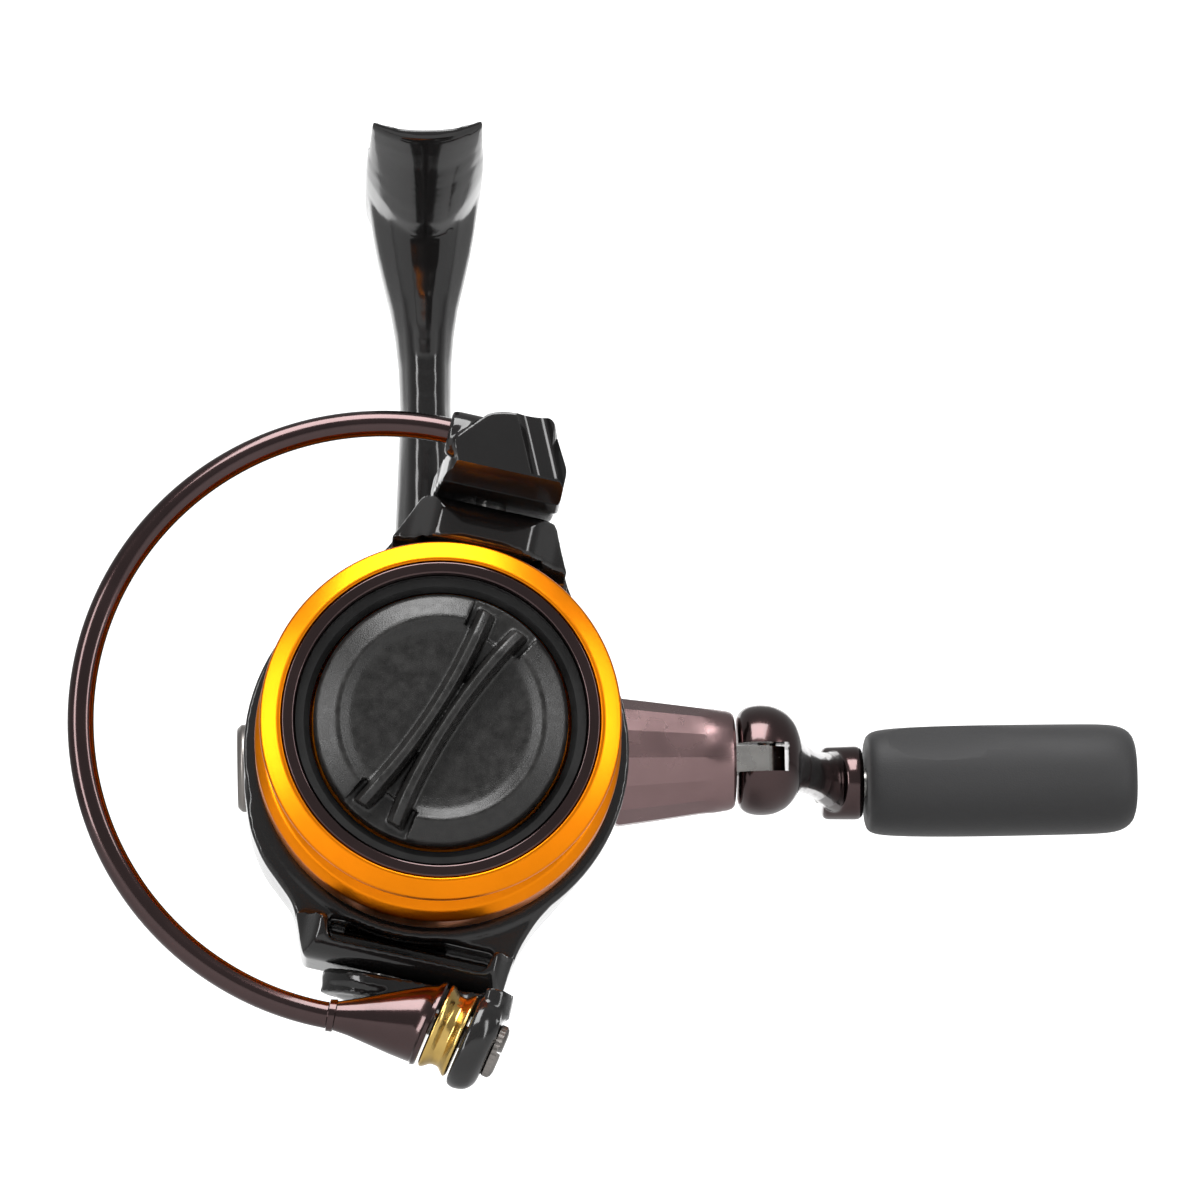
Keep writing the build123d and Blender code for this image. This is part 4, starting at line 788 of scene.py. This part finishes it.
join(handle_arm, knuckle)
fuse(handle_arm, grain=0.28, rounds=4)
arm_slot = plate([(-9, -1.95), (9, -1.95), (9, 1.95), (-9, 1.95)], 40.0, 48.3, "x", ease=0.5,
                 place=HANDLE)
carve(handle_arm, part("arm_slot", arm_slot))
PIN = HANDLE @ Matrix.Translation((FOLD_X, 0, 0)) @ Matrix.Rotation(-math.pi / 2, 4, "Y")
drill(handle_arm, PIN, (-5.6, 5.6, 1.27), sides=40)
drill(handle_arm, KNOB_PLACE, (50, 70, 2.85), sides=48)
fit(handle_arm, "handle_arm", "mauve_anodised", dark_mauve, "handle_arm", crease=35)

# ---------------------------------------------------------------- handle knob
# A soft-touch rubber grip over a hollow core. It is a rounded oval bar that narrows towards
# the arm, with a shallow thumb hollow scooped out of its upper front.


def soft_touch_rubber():
    """Charcoal rubber with a fine matte skin and a slight sheen at its edges."""
    colour = (0.02, 0.02, 0.021)
    finish, shader = blank_finish("soft_touch_rubber", colour, 0.0, 0.62)
    shader.inputs["Sheen Weight"].default_value = 0.12
    shader.inputs["Sheen Roughness"].default_value = 0.5
    mottle(finish, shader, colour, size=14, shade=0.1, rough=0.62, rough_swing=0.05,
           bump=0.3, fine=0.22)
    return finish


rubber = soft_touch_rubber()
GRIP = ((63.3, 6.6, 6.0), (63.5, 7.3, 6.7), (64.2, 8.0, 7.25), (65.6, 8.4, 7.55), (69.0, 8.6, 7.8),
        (76.0, 8.7, 7.95), (84.0, 8.75, 7.95), (92.0, 8.75, 7.9), (97.0, 8.7, 7.85),
        (99.2, 8.5, 7.65), (100.6, 8.0, 7.15), (101.5, 7.1, 6.3), (101.9, 5.8, 5.0))


def grip_ring(x, half_depth, half_height):
    """Rounded oval section."""
    ring = []
    for c, s in circle_of(72):
        squareness = (abs(c) ** 2.4 + abs(s) ** 2.4) ** (-1 / 2.4)
        ring.append((x, half_depth * c * squareness, half_height * s * squareness))
    return ring


grip_rings = [grip_ring(*section) for section in GRIP]
grip = part("rubber_grip", skin(grip_rings, KNOB_PLACE))
smooth_grip = grip.modifiers.new("smooth", "SUBSURF")
smooth_grip.levels = 1
settle(grip)
THUMB_R, THUMB_FLOOR = 26.0, 7.3
thumb = plate([(73.5 + x, THUMB_FLOOR + THUMB_R + z) for x, z in circle_of(160, THUMB_R)], -11, 11,
              "y", place=KNOB_PLACE @ Matrix.Rotation(math.radians(40), 4, "X"))
carve(grip, part("thumb", thumb))
drill(grip, KNOB_PLACE, (60, 96.2, 2.06), (96.2, 104, 3.75), sides=64)
fit(grip, "handle_knob", "knob_rubber", rubber, "handle_knob", crease=45)
end_cap = turned([(99.4, 0), (99.4, 3.65), (101.4, 3.65), (101.8, 3.3), (101.95, 0)], KNOB_PLACE,
                 ease=0.3, steps=64, closed=False)
fit(part("grip_end_plug", end_cap), "handle_knob", "knob_rubber", rubber, "knob_end_cap")

# ---------------------------------------------------------------- small and inner parts
# Bearings, gears, shafts, washers, springs and screws keep their machined shapes, each in
# its own metal, moulding or rubber.


def die_cast_zinc():
    """Dull grey zinc with a cast skin."""
    colour = (0.40, 0.40, 0.39)
    finish, shader = blank_finish("die_cast_zinc", colour, 1.0, 0.42)
    mottle(finish, shader, colour, size=2, shade=0.1, rough=0.42, rough_swing=0.06,
           bump=0.25, fine=0.3)
    return finish


def woven_washer():
    """Dark woven friction cloth."""
    colour = (0.05, 0.047, 0.043)
    finish, shader = blank_finish("woven_washer", colour, 0.0, 0.7)
    mottle(finish, shader, colour, size=0.5, shade=0.5, rough=0.7, rough_swing=0.08,
           bump=0.6, fine=0.3)
    return finish


def moulded_seal():
    """Black seal rubber, slightly greasy."""
    colour = (0.014, 0.014, 0.014)
    finish, shader = blank_finish("moulded_seal", colour, 0.0, 0.45)
    mottle(finish, shader, colour, size=3, shade=0.2, rough=0.45, rough_swing=0.08,
           bump=0.2, fine=0.3)
    return finish


slot_finish = {"gloss_black": black_lacquer, "orange_anodised": orange_anodise,
               "mauve_anodised": dark_mauve, "knob_black": spark_black, "knob_rubber": rubber,
               "steel": steel, "brass": brass, "zinc": die_cast_zinc(),
               "washer_felt": woven_washer(), "seal_rubber": moulded_seal(),
               "grey_metal": grey_anodise}
node_slot = {row["node"]: row["material_slot"] for row in frame["record"]["subparts"]}
for name, node in frame["nodes"].items():
    node.data.materials.clear()
    node.data.materials.append(slot_finish[node_slot[name]])

# ---------------------------------------------------------------- studio
# Pale floor, a small lit card behind, soft boxes at both sides and overhead, a long lens.


def floor_finish():
    """Matte pale card with a barely visible tooth."""
    colour = (0.6, 0.6, 0.6)
    finish, shader = blank_finish("pale_card", colour, 0.0, 0.9)
    mottle(finish, shader, colour, size=60, shade=0.004, rough=0.9, rough_swing=0.02,
           bump=0.02, fine=1.0)
    return finish


def card_finish():
    """A white card lit from behind."""
    finish, shader = blank_finish("lit_card", (0.5, 0.5, 0.5), 0.0, 0.9)
    shader.inputs["Emission Color"].default_value = (1, 1, 1, 1)
    shader.inputs["Emission Strength"].default_value = 1.0
    return finish


def stage_sheet(name, corners, finish):
    """A flat sheet of the studio."""
    mesh = bpy.data.meshes.new(name)
    mesh.from_pydata(corners, [], [(0, 1, 2, 3)])
    mesh.materials.append(finish)
    sheet = bpy.data.objects.new(name, mesh)
    bpy.context.scene.collection.objects.link(sheet)


FLOOR_Z, CARD_Y = -0.2, 1.05
stage_sheet("floor", [(-2, -1.6, FLOOR_Z), (2, -1.6, FLOOR_Z), (2, 1.6, FLOOR_Z), (-2, 1.6, FLOOR_Z)],
            floor_finish())
stage_sheet("lit_card", [(-0.5, CARD_Y, FLOOR_Z + 0.01), (0.5, CARD_Y, FLOOR_Z + 0.01),
                         (0.5, CARD_Y, 0.6), (-0.5, CARD_Y, 0.6)], card_finish())


def soft_box(name, place, target, width, height, power):
    """A rectangular area light turned towards a point."""
    light = bpy.data.lights.new(name, "AREA")
    light.shape = "RECTANGLE"
    light.size, light.size_y, light.energy = width, height, power
    lamp = bpy.data.objects.new(name, light)
    lamp.location = place
    lamp.rotation_euler = (Vector(target) - Vector(place)).to_track_quat("-Z", "Y").to_euler()
    bpy.context.scene.collection.objects.link(lamp)


reel_middle = (0.02, 0.0, -0.07)
soft_box("left_box", (-0.63, -0.5, -0.05), reel_middle, 0.2, 0.8, 4)
soft_box("right_box", (0.63, -0.5, 0.0), reel_middle, 0.15, 0.7, 2.3)
soft_box("top_box", (-0.05, -0.42, 0.6), reel_middle, 0.5, 0.55, 8)

world = bpy.data.worlds.new("studio")
world.use_nodes = True
world.node_tree.nodes["Background"].inputs["Color"].default_value = (1, 1, 1, 1)
world.node_tree.nodes["Background"].inputs["Strength"].default_value = 0.34
bpy.context.scene.world = world
bpy.context.scene.view_settings.view_transform = "Standard"

camera_data = bpy.data.cameras.new("camera")
camera_data.lens = 182.0
camera_data.sensor_width = 36.0
camera = bpy.data.objects.new("camera", camera_data)
right, up = Vector((0.99865, -0.04684, -0.02266)), Vector((0.01430, -0.17152, 0.98508))
back = Vector((-0.05003, -0.98407, -0.17062))
camera.matrix_world = Matrix.Translation((-0.0177, -0.7845, -0.1925)) @ Matrix(
    (right, up, back)).transposed().to_4x4()
bpy.context.scene.collection.objects.link(camera)
bpy.context.scene.camera = camera
